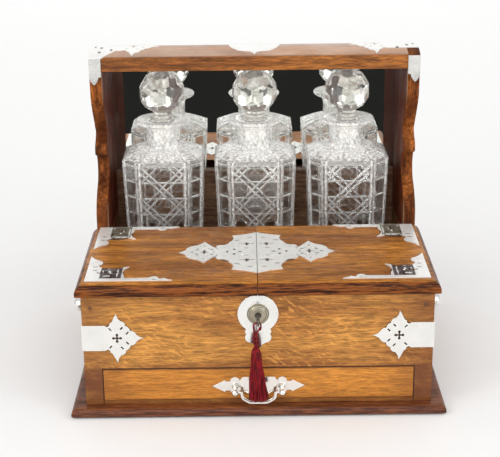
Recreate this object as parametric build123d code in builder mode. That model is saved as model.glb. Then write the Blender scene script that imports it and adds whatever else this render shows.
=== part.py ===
# Antique oak tantalus: a case with two hinged lids, a locked games compartment and a drawer,
# and behind the lids three cut-glass decanters held under a shaped canopy with a mirror back.
# Millimetres, +Z up, the front faces -Y. The origin is the middle of the underside.
from build123d import *
import os
from math import cos, pi, radians, sin, tan

os.makedirs("parts", exist_ok=True)

# ---- Driving dimensions: case ------------------------------------------------------------
case_width = 345.0
case_depth = 283.0
case_top = 127.0            # top edge of the case above the table
board_thick = 12.5          # front, sides, lids and uprights
inner_board = 6.0           # dust board, deck and partition
back_thick = 7.0
baize_thick = 1.0
baize_inset = 4.0
plinth_top = 10.0
plinth_side_reach = 14.0
plinth_front_reach = 13.5
plinth_back_reach = 2.0
plinth_nose_upper = 5.0
plinth_nose_lower = 3.0
plug_radius = 2.2
plug_depth = 6.0
plug_inset = 8.5            # from the case's outer side
plug_drop = 12.5            # from the case's top edge

# ---- Driving dimensions: lids ------------------------------------------------------------
lid_side_reach = 5.5
lid_front_reach = 5.0
lid_rear_gap = 0.7          # between the lids and the uprights
lid_split_gap = 0.6
lid_nose_upper = 9.0
lid_nose_lower = 1.8

# ---- Driving dimensions: uprights and canopy ---------------------------------------------
upright_depth = 121.0
upright_height = 185.0      # from the case's top edge to the underside of the canopy rail
rail_face = 14.0            # height of the canopy's front edge
rail_depth = 60.0
crown_setback = 29.0        # from the front edge to the highest line of the canopy
crown_rise = 5.8
rail_back_drop = 1.0
canopy_back_drop = 17.0     # fall from the front edge to the back edge
canopy_board_thick = 10.0
deck_top = 95.0
mirror_sill = 170.0         # lower edge of the mirror
mirror_thick = 3.0
mirror_bevel_width = 12.0
mirror_bevel_depth = 1.2
mirror_top_air = 0.3
apron_thick = 6.0

# ---- Driving dimensions: drawer and tray -------------------------------------------------
drawer_stile = 18.0         # case front left beside the drawer
drawer_rail = 3.9           # case front left under the drawer
drawer_height = 34.3        # the opening in the case front
drawer_air = 0.4
drawer_side_thick = 6.0
drawer_bottom_thick = 3.0
drawer_bottom_raise = 2.1
drawer_side_drop = 3.5      # drawer sides below the top of the drawer front
drawer_length = 225.0
guide_height = 16.0
runner_width = 12.0
floor_above_drawer = 1.8
tray_height = 50.0
tray_wall = 5.0
tray_floor = 4.0
tray_air = 0.4
tray_trough = 48.0          # width of the long rear well
tray_lock_room = 2.0

# ---- Driving dimensions: lid hinges ------------------------------------------------------
knuckle_radius = 2.4
hinge_pin_radius = 1.0
hinge_pin_air = 0.05
knuckle_air = 0.2
hinge_length = 40.0
knuckle_length = 13.0
knuckle_end_air = 0.3
leaf_thick = 1.2
leaf_height = 14.0
lid_leaf_width = 12.0
lid_underside_air = 0.4     # over the knuckle
hinge_from_front = 35.0
hinge_spacing = 90.0

# ---- Driving dimensions: lock and key ----------------------------------------------------
lock_drop = 20.2            # key axis below the case's top edge
lock_width = 50.0
lock_case_depth = 12.0
lock_case_top_air = 1.0
lock_case_bottom = 75.0
lock_wall = 1.5
lock_rail_thick = 2.7
lock_rail_air = 0.3
bolt_throw = 5.0
bolt_thick = 3.0
bolt_finger_height = 3.5
bolt_setback = 4.0          # from the back of the case front
drive_pin_radius = 1.3
drive_slot_half = 2.4
drive_pin_throw = 5.0
plug_flange_radius = 7.0
plug_flange_thick = 2.0
staple_width = 4.0
staple_from_split = 11.0
staple_depth = 7.0
staple_drop = 14.0          # below the lids' underside
staple_eye_air = 0.5
staple_slot_air = 1.2
boss_radius = 11.0
boss_proud = 5.0
boss_bore = 2.5
shank_radius = 1.6
shank_air = 0.05
collar_radius = 2.6
collar_thick = 1.4
bow_radius = 3.5
bow_wire = 1.0
bow_from_front = 20.5

# ---- Driving dimensions: tassel ----------------------------------------------------------
cord_radius = 0.8
cord_drop = 25.8            # from the bow's centre to the tassel
tassel_length = 56.5
tassel_head_radius = 5.6
tassel_neck_radius = 3.0
tassel_bind_radius = 4.4
tassel_bind_top = 10.5      # below the tassel's top
tassel_bind_low = 19.0
tassel_skirt_radius = 9.6
tassel_offset = -0.8

# ---- Driving dimensions: silver mounts ---------------------------------------------------
silver = 1.0
strap_height = 82.5         # centre line above the table
strap_half = 13.5
finial_centre = 33.8        # from the corner to the middle of the strap's finial
finial_half = 26.3
canopy_strap_extra = 11.5
cross_reach = 4.9           # a cross piercing, from its middle to the end of an arm
cross_lobe = 1.35
cross_arm = 1.5
slit_length = 3.6
slit_width = 1.5
slit_radius = 11.5          # from the middle of the finial
escutcheon_radius = 20.0
escutcheon_drop = 39.1      # from the key's axis to the escutcheon's tip
escutcheon_ear = 12.9
centre_mount_reach = 79.5   # from the lids' meeting edge to the mount's tip
centre_mount_half = 58.0    # along the meeting edge
corner_legs = (86.0, 67.4)   # along the lid's front or rear edge, and along its side
mount_edge_inset = 3.5      # from the case's side to the corner mounts
mount_front_inset = 7.0
mount_middle_inset = 82.5
cartouche_half = 27.0
cartouche_depth = 26.0
cover_tip = 28.0            # the upright's front cover, below the canopy's arris
cover_shoulder = 19.7
cover_step = 2.6
plate_centre_half = 19.0
plate_top = 38.6
plate_foot = 19.2
plate_lobe = 4.9
plate_waist = 32.0          # where the leaf begins
plate_tip = 46.0
leaf_half = 6.6
plate_hang_height = 25.3    # bail axis of the drawer handle above the table
handle_height = 77.0
handle_spacing = 84.0
handle_from_front = 141.0

# ---- Driving dimensions: decanters -------------------------------------------------------
decanter_pitch = 100.5
decanter_front_gap = 6.0    # behind the front edge of the uprights
body_width = 88.8           # across the flats at the shoulder
body_corner = 15.4
body_taper = 2.0            # degrees
shoulder_height = 113.0
shoulder_rise = 9.0         # from the shoulder's edge to the foot of the neck
neck_base_radius = 20.0
neck_radius = 18.5
neck_length = 27.0
lip_thick = 4.0
lip_radius = 30.0
bore_top_radius = 13.0
bore_low_radius = 11.6
bore_taper_length = 26.0
glass_wall = 5.5
glass_base = 8.0
plug_air = 0.08
ball_rise = 29.5            # from the lip to the centre of the ball stopper
ball_facet = 23.4           # from the ball's centre to its facets
ball_sides = 12             # facets in each full row
stopper_neck_radius = 10.0

# ---- Derived places ----------------------------------------------------------------------
half_width = case_width / 2
inner_half = half_width - board_thick
total_depth = case_depth + plinth_front_reach + plinth_back_reach
case_front = plinth_front_reach - total_depth / 2
case_back = case_front + case_depth
board_back = case_front + board_thick
inner_back = case_back - back_thick
upright_front = case_back - upright_depth
lid_rear = upright_front - lid_rear_gap
lid_top = case_top + board_thick
canopy_under = case_top + upright_height
arris_height = canopy_under + rail_face
crown_depth = upright_front + crown_setback
rail_back = upright_front + rail_depth
rail_back_height = arris_height - rail_back_drop
canopy_back_height = arris_height - canopy_back_drop
canopy_slope = (rail_back_height - canopy_back_height) / (case_back - rail_back)
opening_half = half_width - drawer_stile
opening_low = plinth_top + drawer_rail
opening_high = opening_low + drawer_height
floor_low = opening_high + floor_above_drawer
floor_top = floor_low + inner_board
mirror_back = inner_back
mirror_front = mirror_back - mirror_thick
apron_front = mirror_back - apron_thick
partition_front = upright_front - board_thick + 0.5
lock_height = case_top - lock_drop
hinge_axis_x = half_width + knuckle_air + knuckle_radius
hinge_axis_z = case_top - lid_underside_air - knuckle_radius
hinge_places = [case_front + hinge_from_front + i * hinge_spacing for i in (0, 1)]
neck_base_height = shoulder_height + shoulder_rise
lip_under_height = neck_base_height + neck_length
lip_top_height = lip_under_height + lip_thick
ball_height = lip_top_height + ball_rise
decanter_y = upright_front + decanter_front_gap + body_width / 2
decanter_places = {
    "left": -decanter_pitch,
    "middle": 0.0,
    "right": decanter_pitch,
}
bow_y = case_front - bow_from_front
drawn_upright = (121.0, 185.0)  # the upright's outline is drawn in a field of this size


def canopy_underside(y):
    """Height of the canopy board's underside at a depth y."""
    return rail_back_height - canopy_slope * (y - rail_back) - canopy_board_thick


def slab(x, y, z, mode=Mode.ADD):
    """A board between the given limits along X, Y and Z."""
    with Locations(((x[0] + x[1]) / 2, (y[0] + y[1]) / 2, (z[0] + z[1]) / 2)):
        Box(x[1] - x[0], y[1] - y[0], z[1] - z[0], mode=mode)


def save(piece, name):
    """Label a finished piece and write it as the node of that name."""
    piece.part.label = name
    export_step(piece.part, f"parts/{name}.step")


def facing_front(y):
    """Plane at a depth y that faces the front, with X to the right and Z up."""
    return Plane.XZ.offset(-y)


# ---- Base and case -----------------------------------------------------------------------
plinth_half = half_width + plinth_side_reach
plinth_front = case_front - plinth_front_reach
plinth_back = case_back + plinth_back_reach

with BuildPart() as base_baize:
    slab(
        (-plinth_half + baize_inset, plinth_half - baize_inset),
        (plinth_front + baize_inset, plinth_back - baize_inset),
        (0, baize_thick),
    )
save(base_baize, "base_baize")

with BuildPart() as plinth:
    slab((-plinth_half, plinth_half), (plinth_front, plinth_back), (baize_thick, plinth_top))
    top_nose = plinth.faces().sort_by(Axis.Z)[-1].edges().sort_by(Axis.Y)[:-1]
    fillet(top_nose, plinth_nose_upper)
    low_nose = plinth.faces().sort_by(Axis.Z)[0].edges().sort_by(Axis.Y)[:-1]
    fillet(low_nose, plinth_nose_lower)
save(plinth, "plinth")

for side, name in ((-1, "left_case_side"), (1, "right_case_side")):
    with BuildPart() as case_side:
        slab(
            sorted((side * inner_half, side * half_width)),
            (board_back, case_back),
            (plinth_top, case_top),
        )
    save(case_side, name)

plug_places = [(side * (half_width - plug_inset), case_top - plug_drop) for side in (-1, 1)]
with BuildPart() as front_board:
    slab((-half_width, half_width), (case_front, board_back), (plinth_top, case_top))
    slab(
        (-opening_half, opening_half),
        (case_front, board_back),
        (opening_low, opening_high),
        mode=Mode.SUBTRACT,
    )
    with BuildSketch(facing_front(case_front)):
        with Locations((0, lock_height)):
            Circle(boss_bore)
    extrude(amount=-board_thick, mode=Mode.SUBTRACT)
    with BuildSketch(facing_front(case_front)):
        with Locations(*plug_places):
            Circle(plug_radius)
    extrude(amount=-plug_depth, mode=Mode.SUBTRACT)
save(front_board, "front_board")

with BuildPart() as front_plugs:
    with BuildSketch(facing_front(case_front)):
        with Locations(*plug_places):
            Circle(plug_radius - shank_air)
    extrude(amount=-plug_depth)
save(front_plugs, "front_plugs")

with BuildPart() as back_board:
    slab(
        (-inner_half, inner_half),
        (inner_back, case_back),
        (plinth_top, canopy_underside(case_back)),
    )
save(back_board, "back_board")

with BuildPart() as floor_board:
    slab((-inner_half, inner_half), (board_back, inner_back), (floor_low, floor_top))
save(floor_board, "floor_board")

with BuildPart() as decanter_deck:
    slab((-inner_half, inner_half), (partition_front, inner_back), (deck_top - inner_board, deck_top))
save(decanter_deck, "decanter_deck")

with BuildPart() as partition:
    slab(
        (-inner_half, inner_half),
        (partition_front, partition_front + inner_board),
        (floor_top, deck_top - inner_board),
    )
save(partition, "partition")

with BuildPart() as mirror_apron:
    slab((-inner_half, inner_half), (apron_front, inner_back), (deck_top, mirror_sill))
save(mirror_apron, "mirror_apron")

with BuildPart() as mirror_glass:
    slab(
        (-inner_half, inner_half),
        (mirror_front, mirror_back),
        (mirror_sill, canopy_underside(mirror_back) - mirror_top_air),
    )
    mirror_face = mirror_glass.faces().sort_by(Axis.Y)[0]
    chamfer(mirror_face.edges(), mirror_bevel_width, mirror_bevel_depth, reference=mirror_face)
save(mirror_glass, "mirror")

# The drawer rides on the low flange of each runner and is guided by the high one.
with BuildPart() as drawer_runners:
    for side in (-1, 1):
        slab(
            sorted((side * (inner_half - runner_width - drawer_side_thick), side * inner_half)),
            (board_back, inner_back),
            (plinth_top, opening_low),
        )
        slab(
            sorted((side * opening_half, side * inner_half)),
            (board_back, inner_back),
            (opening_low, opening_low + guide_height),
        )
save(drawer_runners, "drawer_runners")


# ---- Uprights and canopy -----------------------------------------------------------------
def upright_outline():
    """Side view of an upright, with Y across and Z up: scrolled front edge and domed top."""
    def at(setback, height):
        return (
            upright_front + setback * upright_depth / drawn_upright[0],
            case_top + height * upright_height / drawn_upright[1],
        )

    arris = (upright_front, arris_height)
    crown = (crown_depth, arris_height + crown_rise)
    with BuildSketch() as outline:
        with BuildLine():
            Polyline((case_back, case_top), at(0, 0), at(0, 24))
            Spline(at(0, 24), at(7, 40), at(20, 51), at(35, 65), tangents=((0, 1), (0.25, 1)))
            ThreePointArc(at(35, 65), at(35.6, 77), at(30, 87))
            ThreePointArc(at(30, 87), at(23.5, 87.6), at(18, 91))
            ThreePointArc(at(18, 91), at(19.5, 98.6), at(26, 103))
            Line(at(26, 103), at(33, 109))
            ThreePointArc(at(33, 109), at(33.2, 113), at(30, 116))
            Spline(
                at(30, 116), at(24, 125), at(14, 137), at(6, 149), at(1.8, 166),
                tangents=((-0.6, 1), (0, 1)),
            )
            Line(at(1.8, 166), arris)
            ThreePointArc(arris, crown, (rail_back, rail_back_height))
            Line((rail_back, rail_back_height), (case_back, canopy_back_height))
            Line((case_back, canopy_back_height), (case_back, case_top))
        make_face()
    return outline.sketch


for x, name in ((-half_width, "left_upright"), (inner_half, "right_upright")):
    with BuildPart() as upright:
        with BuildSketch(Plane.YZ.offset(x)):
            add(upright_outline())
        extrude(amount=board_thick)
    save(upright, name)

with BuildPart() as canopy_rail:
    with BuildSketch(Plane.YZ.offset(-inner_half)):
        with BuildLine():
            Line((upright_front, canopy_under), (upright_front, arris_height))
            ThreePointArc(
                (upright_front, arris_height),
                (crown_depth, arris_height + crown_rise),
                (rail_back, rail_back_height),
            )
            Polyline(
                (rail_back, rail_back_height), (rail_back, canopy_under), (upright_front, canopy_under)
            )
        make_face()
    extrude(amount=2 * inner_half)
save(canopy_rail, "canopy_rail")

with BuildPart() as canopy_board:
    with BuildSketch(Plane.YZ.offset(-inner_half)):
        with BuildLine():
            Polyline(
                (rail_back, rail_back_height),
                (case_back, canopy_back_height),
                (case_back, canopy_underside(case_back)),
                (rail_back, canopy_underside(rail_back)),
                close=True,
            )
        make_face()
    extrude(amount=2 * inner_half)
save(canopy_board, "canopy_board")

# ---- Games tray: two card wells, a middle well behind the lock and a long rear trough -----
tray_half = inner_half - tray_air
tray_front = board_back + tray_air
tray_back = partition_front - tray_air
tray_top = floor_top + tray_height
lock_half = lock_width / 2
notch_half = lock_half + tray_lock_room
notch_back = board_back + lock_case_depth + tray_lock_room
trough_front = tray_back - tray_wall - tray_trough
well_back = trough_front - tray_wall
side_well_inner = notch_half + tray_wall
well_floor = floor_top + tray_floor

with BuildPart() as games_tray:
    slab((-tray_half, tray_half), (tray_front, tray_back), (floor_top, tray_top))
    slab((-notch_half, notch_half), (tray_front, notch_back), (floor_top, tray_top), mode=Mode.SUBTRACT)
    slab(
        (tray_wall - tray_half, tray_half - tray_wall),
        (trough_front, tray_back - tray_wall),
        (well_floor, tray_top),
        mode=Mode.SUBTRACT,
    )
    slab((-notch_half, notch_half), (notch_back + tray_wall, well_back), (well_floor, tray_top), mode=Mode.SUBTRACT)
    for side in (-1, 1):
        slab(
            sorted((side * side_well_inner, side * (tray_half - tray_wall))),
            (tray_front + tray_wall, well_back),
            (well_floor, tray_top),
            mode=Mode.SUBTRACT,
        )
save(games_tray, "games_tray")

# ---- Lids --------------------------------------------------------------------------------
lid_outer = half_width + lid_side_reach
lid_front = case_front - lid_front_reach
lid_inner = lid_split_gap / 2
leaf_reach = knuckle_radius + lid_underside_air
lid_leaf_outer = hinge_axis_x + knuckle_radius
lid_leaf_inner = hinge_axis_x - lid_leaf_width

for side, name in ((-1, "left_lid"), (1, "right_lid")):
    with BuildPart() as lid:
        slab(sorted((side * lid_inner, side * lid_outer)), (lid_front, lid_rear), (case_top, lid_top))
        outer_first = Axis((0, 0, 0), (-side, 0, 0))
        top_edges = lid.faces().sort_by(Axis.Z)[-1].edges()
        fillet([top_edges.sort_by(Axis.Y)[0], top_edges.sort_by(outer_first)[0]], lid_nose_upper)
        low_edges = lid.faces().sort_by(Axis.Z)[0].edges()
        fillet([low_edges.sort_by(Axis.Y)[0], low_edges.sort_by(outer_first)[0]], lid_nose_lower)
        for y in hinge_places:
            slab(
                sorted((side * lid_leaf_inner, side * (lid_outer + 1))),
                (y - hinge_length / 2, y + hinge_length / 2),
                (case_top, case_top + leaf_thick),
                mode=Mode.SUBTRACT,
            )
    save(lid, name)

# ---- Lid hinges: two knuckles on the case leaf, one on the lid leaf ------------------------
case_knuckle_offset = (hinge_length - knuckle_length) / 2
lid_knuckle_length = hinge_length - 2 * knuckle_length - 2 * knuckle_end_air
bore_radius = hinge_pin_radius + hinge_pin_air


def knuckle(x, y, length):
    """A hinge knuckle along Y, centred at (x, y) on the hinge axis, bored for the pin."""
    with Locations(Location((x, y, hinge_axis_z), (90, 0, 0))):
        Cylinder(knuckle_radius, length)
        Cylinder(bore_radius, length, mode=Mode.SUBTRACT)


with BuildPart() as hinge_case_leaves:
    for side in (-1, 1):
        axis_x = side * hinge_axis_x
        leaf_outer = side * (hinge_axis_x - leaf_thick)
        for y in hinge_places:
            slab(
                sorted((side * half_width, leaf_outer)),
                (y - hinge_length / 2, y + hinge_length / 2),
                (hinge_axis_z - leaf_height, hinge_axis_z - leaf_reach),
            )
            for end in (-1, 1):
                middle = y + end * case_knuckle_offset
                slab(
                    sorted((side * half_width, leaf_outer)),
                    (middle - knuckle_length / 2, middle + knuckle_length / 2),
                    (hinge_axis_z - leaf_reach, hinge_axis_z),
                )
                knuckle(axis_x, middle, knuckle_length)
save(hinge_case_leaves, "hinge_case_leaves")

with BuildPart() as hinge_pins:
    for side in (-1, 1):
        for y in hinge_places:
            with Locations(Location((side * hinge_axis_x, y, hinge_axis_z), (90, 0, 0))):
                Cylinder(hinge_pin_radius, hinge_length)
save(hinge_pins, "hinge_pins")

for side, name in ((-1, "left_hinge_leaves"), (1, "right_hinge_leaves")):
    with BuildPart() as lid_leaves:
        for y in hinge_places:
            slab(
                sorted((side * lid_leaf_inner, side * lid_leaf_outer)),
                (y - hinge_length / 2, y + hinge_length / 2),
                (case_top, case_top + leaf_thick),
            )
            slab(
                sorted((side * (lid_leaf_outer - leaf_thick), side * lid_leaf_outer)),
                (y - lid_knuckle_length / 2, y + lid_knuckle_length / 2),
                (hinge_axis_z, case_top),
            )
            knuckle(side * hinge_axis_x, y, lid_knuckle_length)
    save(lid_leaves, name)

# ---- Lock: case, sliding bolt, key plug, and a staple under each lid -----------------------
lock_front = board_back
lock_back = lock_front + lock_case_depth
lock_top = case_top - lock_case_top_air
bolt_front = lock_front + bolt_setback
bolt_back = bolt_front + bolt_thick
staple_front = (bolt_front + bolt_back - staple_depth) / 2
staple_low = case_top - staple_drop
finger_low = staple_low + 2.5
finger_high = finger_low + bolt_finger_height
slot_half_x = staple_width / 2 + staple_slot_air
bolt_low = lock_height - drive_pin_radius - 3
bolt_bar_high = staple_low - 1.5

with BuildPart() as lock_case:
    slab((-lock_half, lock_half), (lock_front, lock_back), (lock_case_bottom, lock_top))
    slab(
        (lock_wall - lock_half, lock_half - lock_wall),
        (lock_front + lock_wall, lock_back - lock_wall),
        (lock_case_bottom + lock_wall, lock_top - lock_wall),
        mode=Mode.SUBTRACT,
    )
    for side in (-1, 1):
        middle = side * staple_from_split
        slab(
            (middle - slot_half_x, middle + slot_half_x),
            (staple_front - staple_eye_air, staple_front + staple_depth + staple_eye_air),
            (lock_top - lock_wall, lock_top),
            mode=Mode.SUBTRACT,
        )
    slab(
        (lock_wall - lock_half, lock_half - lock_wall),
        (bolt_front, lock_back - lock_wall),
        (bolt_low - lock_rail_air - lock_rail_thick, bolt_low - lock_rail_air),
    )
    with BuildSketch(facing_front(lock_front)):
        with Locations((0, lock_height)):
            Circle(shank_radius + shank_air)
    extrude(amount=-lock_wall, mode=Mode.SUBTRACT)
save(lock_case, "lock_case")

# At rest the bolt is drawn back. The key throws it to the right, through the staples' eyes.
finger_reach = bolt_throw
left_tip = -staple_from_split - staple_width / 2 - staple_eye_air
right_tip = staple_from_split - staple_width / 2 - staple_eye_air
slot_wall_half = drive_slot_half + 1.2
pin_height = lock_height + drive_pin_throw
bolt_post = 3.0
with BuildPart() as lock_bolt:
    slab(
        (left_tip - finger_reach - bolt_post, slot_wall_half),
        (bolt_front, bolt_back),
        (bolt_low, bolt_bar_high),
    )
    slab((-slot_wall_half, slot_wall_half), (bolt_front, bolt_back), (bolt_low, finger_high))
    slab(
        (left_tip - finger_reach - bolt_post, left_tip - finger_reach),
        (bolt_front, bolt_back),
        (bolt_low, finger_high),
    )
    slab((left_tip - finger_reach, left_tip), (bolt_front, bolt_back), (finger_low, finger_high))
    slab((slot_wall_half, right_tip), (bolt_front, bolt_back), (finger_low, finger_high))
    slab(
        (-drive_slot_half, drive_slot_half),
        (bolt_front, bolt_back),
        (lock_height - drive_pin_radius - 0.3, pin_height + drive_pin_radius + 0.3),
        mode=Mode.SUBTRACT,
    )
save(lock_bolt, "lock_bolt")

for side, name in ((-1, "left_lid_staple"), (1, "right_lid_staple")):
    middle = side * staple_from_split
    with BuildPart() as staple:
        slab(
            (middle - staple_width / 2, middle + staple_width / 2),
            (staple_front, staple_front + staple_depth),
            (staple_low, case_top),
        )
        slab(
            (middle - staple_width / 2, middle + staple_width / 2),
            (bolt_front - staple_eye_air, bolt_back + staple_eye_air),
            (finger_low - staple_eye_air, finger_high + staple_eye_air),
            mode=Mode.SUBTRACT,
        )
    save(staple, name)

flange_front = lock_front + lock_wall + 0.2
with BuildPart() as lock_plug:
    with BuildSketch(facing_front(flange_front)):
        with Locations((0, lock_height)):
            Circle(plug_flange_radius)
    extrude(amount=-plug_flange_thick)
    with BuildSketch(facing_front(flange_front)):
        with Locations((0, pin_height)):
            Circle(drive_pin_radius)
    extrude(amount=-(bolt_back - flange_front + 1))
save(lock_plug, "lock_plug")

with BuildPart() as key:
    with BuildSketch(facing_front(flange_front)):
        with Locations((0, lock_height)):
            Circle(shank_radius)
    extrude(amount=flange_front - bow_y - bow_radius)
    with BuildSketch(facing_front(case_front - boss_proud - 0.3)):
        with Locations((0, lock_height)):
            Circle(collar_radius)
    extrude(amount=collar_thick)
    with Locations(Location((0, bow_y, lock_height), (0, 90, 0))):
        Torus(bow_radius, bow_wire)
save(key, "key")

with BuildPart() as lock_boss:
    with BuildSketch(Plane.YZ):
        with BuildLine():
            Polyline(
                (case_front - silver, lock_height + boss_bore),
                (case_front - boss_proud, lock_height + boss_bore),
            )
            Line(
                (case_front - boss_proud, lock_height + boss_bore),
                (case_front - boss_proud, lock_height + boss_radius * 0.6),
            )
            ThreePointArc(
                (case_front - boss_proud, lock_height + boss_radius * 0.6),
                (case_front - boss_proud * 0.62, lock_height + boss_radius * 0.74),
                (case_front - boss_proud * 0.5, lock_height + boss_radius * 0.82),
            )
            ThreePointArc(
                (case_front - boss_proud * 0.5, lock_height + boss_radius * 0.82),
                (case_front - boss_proud * 0.44, lock_height + boss_radius * 0.95),
                (case_front - silver, lock_height + boss_radius),
            )
            Line(
                (case_front - silver, lock_height + boss_radius),
                (case_front - silver, lock_height + boss_bore),
            )
        make_face()
    revolve(axis=Axis((0, 0, lock_height), (0, 1, 0)))
save(lock_boss, "lock_boss")


# ---- Tassel on the key's bow -------------------------------------------------------------
def tube_radii(points):
    """Bend radius at each inner corner of a cord's route."""
    radii = []
    for before, here, after in zip(points, points[1:], points[2:]):
        run_in = Vector(*here) - Vector(*before)
        run_out = Vector(*after) - Vector(*here)
        shorter = min(run_in.length, run_out.length)
        radii.append(0.45 * shorter / tan(radians(run_in.get_angle(run_out)) / 2))
    return radii


# The cord hangs as a loop through the bow: up the left, over, and down the right.
loop_points = [
    (-1.9, -27.0),
    (-4.3, -17.5),
    (-5.9, -9.5),
    (-6.1, -3.0),
    (-5.7, 2.4),
    (-1.5, 2.4),
    (0.0, -1.3),
    (2.7, -2.2),
    (2.9, -7.0),
    (2.3, -14.5),
    (0.3, -27.0),
]
cord_route = [(x, bow_y, lock_height + z) for x, z in loop_points]
cord_radii = tube_radii(cord_route)
with BuildPart() as tassel_cord:
    with BuildLine() as cord_path:
        FilletPolyline(*cord_route, radius=cord_radii)
    with BuildSketch(Plane(origin=cord_path.line @ 0, z_dir=cord_path.line % 0)):
        Circle(cord_radius)
    sweep()
save(tassel_cord, "tassel_cord")
cord_length = sum(edge.length for edge in cord_path.edges())
print("cord length", round(cord_length, 1), "bend radii", [round(radius, 1) for radius in cord_radii])

tassel_top = lock_height - cord_drop
with BuildPart() as tassel:
    with BuildSketch(Plane.XZ.offset(-bow_y)):
        with BuildLine():
            Polyline(
                (tassel_offset, tassel_top - tassel_length),
                (tassel_offset, tassel_top),
                (tassel_offset + tassel_neck_radius, tassel_top),
            )
            ThreePointArc(
                (tassel_offset + tassel_neck_radius, tassel_top),
                (tassel_offset + tassel_head_radius, tassel_top - tassel_bind_top / 2),
                (tassel_offset + tassel_bind_radius - 0.6, tassel_top - tassel_bind_top),
            )
            Line(
                (tassel_offset + tassel_bind_radius - 0.6, tassel_top - tassel_bind_top),
                (tassel_offset + tassel_bind_radius, tassel_top - tassel_bind_top),
            )
            Line(
                (tassel_offset + tassel_bind_radius, tassel_top - tassel_bind_top),
                (tassel_offset + tassel_bind_radius, tassel_top - tassel_bind_low),
            )
            ThreePointArc(
                (tassel_offset + tassel_bind_radius, tassel_top - tassel_bind_low),
                (
                    tassel_offset + (tassel_bind_radius + tassel_skirt_radius) / 2 + 0.9,
                    tassel_top - (tassel_bind_low + tassel_length) / 2,
                ),
                (tassel_offset + tassel_skirt_radius, tassel_top - tassel_length),
            )
            Line(
                (tassel_offset + tassel_skirt_radius, tassel_top - tassel_length),
                (tassel_offset, tassel_top - tassel_length),
            )
        make_face()
    revolve(axis=Axis((tassel_offset, bow_y, 0), (0, 0, 1)))
save(tassel, "tassel")


# ---- Silver mounts -----------------------------------------------------------------------
def scrolled(points):
    """An edge of arcs: a point, then for each arc its middle and its end."""
    for i in range(0, len(points) - 2, 2):
        ThreePointArc(*points[i : i + 3])


def cross_piercing(u, v):
    """A cross with lobed arms, cut through a mount's outline at (u, v)."""
    arm = 2 * (cross_reach - cross_lobe)
    with Locations((u, v)):
        Rectangle(arm, cross_arm, mode=Mode.SUBTRACT)
        Rectangle(cross_arm, arm, mode=Mode.SUBTRACT)
    for turn in (0, 90, 180, 270):
        reach = cross_reach - cross_lobe
        with Locations((u + reach * cos(radians(turn)), v + reach * sin(radians(turn)))):
            Circle(cross_lobe, mode=Mode.SUBTRACT)


def slit(u, v, angle):
    """A short slot through a mount's outline at (u, v)."""
    with Locations(Location((u, v, 0), (0, 0, angle))):
        Rectangle(slit_length, slit_width, mode=Mode.SUBTRACT)


# Half of the finial's edge, as shares of its half height from its centre: arcs by middle and end.
finial_edge = [
    (-0.384, 0.464),
    (-0.300, 0.495), (-0.262, 0.593),
    (-0.190, 0.640), (-0.152, 0.703),
    (-0.090, 0.840), (0.004, 1.0),
    (0.050, 0.820), (0.148, 0.692),
    (0.259, 0.650), (0.319, 0.506),
    (0.426, 0.441), (0.498, 0.300),
    (0.620, 0.266), (0.715, 0.156),
    (0.850, 0.050), (1.027, 0),
]
finial_slits = [(28, 45), (66, 45), (125, -45)]


def strap_outline(extra=0.0, lap=0.0):
    """Corner strap seen square on: a band from the corner at u = 0 and a pierced, lobed finial."""
    centre = finial_centre + extra
    half = finial_half
    edge = [(centre + u * half, v * half) for u, v in finial_edge]
    with BuildSketch() as outline:
        with BuildLine():
            Polyline((-lap, -strap_half), (-lap, strap_half), (centre - 0.45 * half, strap_half), edge[0])
            scrolled(edge)
            mirror(about=Plane.XZ)
        make_face()
        cross_piercing(centre, 0)
        for angle, turn in finial_slits:
            for side in (-1, 1):
                u = slit_radius * cos(radians(angle))
                v = slit_radius * sin(radians(angle))
                slit(centre + u, side * v, side * turn)
    return outline.sketch


with BuildPart() as front_straps:
    for side in (-1, 1):
        corner = side * half_width
        facing = Plane(origin=(corner, case_front, strap_height), x_dir=(-side, 0, 0), z_dir=(0, -1, 0))
        with BuildSketch(facing):
            add(strap_outline(lap=silver))
        extrude(amount=silver)
        outward = Plane(origin=(corner, case_front, strap_height), x_dir=(0, 1, 0), z_dir=(side, 0, 0))
        with BuildSketch(outward):
            add(strap_outline())
        extrude(amount=silver)
save(front_straps, "front_straps")

with BuildPart() as escutcheon:
    with BuildSketch(facing_front(case_front)):
        with Locations((0, lock_height)):
            Circle(escutcheon_radius)
        with BuildLine(Plane.XY):
            ear, drop = escutcheon_ear, escutcheon_drop
            neck_point = (0.87 * ear, lock_height - 0.404 * drop)
            Line((0, lock_height), neck_point)
            scrolled([
                neck_point,
                (ear, lock_height - 0.48 * drop),
                (0.9 * ear, lock_height - 0.552 * drop),
                (0.985 * ear, lock_height - 0.69 * drop),
                (0.69 * ear, lock_height - 0.78 * drop),
                (0.26 * ear, lock_height - 0.857 * drop),
                (0, lock_height - drop),
            ])
            mirror(about=Plane.YZ)
        make_face()
        with Locations((0, lock_height)):
            Circle(boss_bore, mode=Mode.SUBTRACT)
    extrude(amount=silver)
save(escutcheon, "escutcheon")


# Edge of a lid corner mount, from the long leg's tip to the short leg's: arcs by middle and end,
# with u as a share of the long leg and v of the short one.
corner_edge = [
    (0.93, 0.052), (0.895, 0.088),
    (0.870, 0.060), (0.835, 0.088),
    (0.790, 0.150), (0.735, 0.098),
    (0.600, 0.094), (0.440, 0.097),
    (0.437, 0.200), (0.415, 0.290),
    (0.425, 0.420), (0.480, 0.550),
    (0.420, 0.520), (0.370, 0.480),
    (0.330, 0.465), (0.300, 0.500),
    (0.270, 0.465), (0.235, 0.500),
    (0.200, 0.480), (0.165, 0.520),
    (0.130, 0.560), (0.140, 0.640),
    (0.160, 0.720), (0.110, 0.800),
    (0.050, 0.880), (0, 1.0),
]


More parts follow.
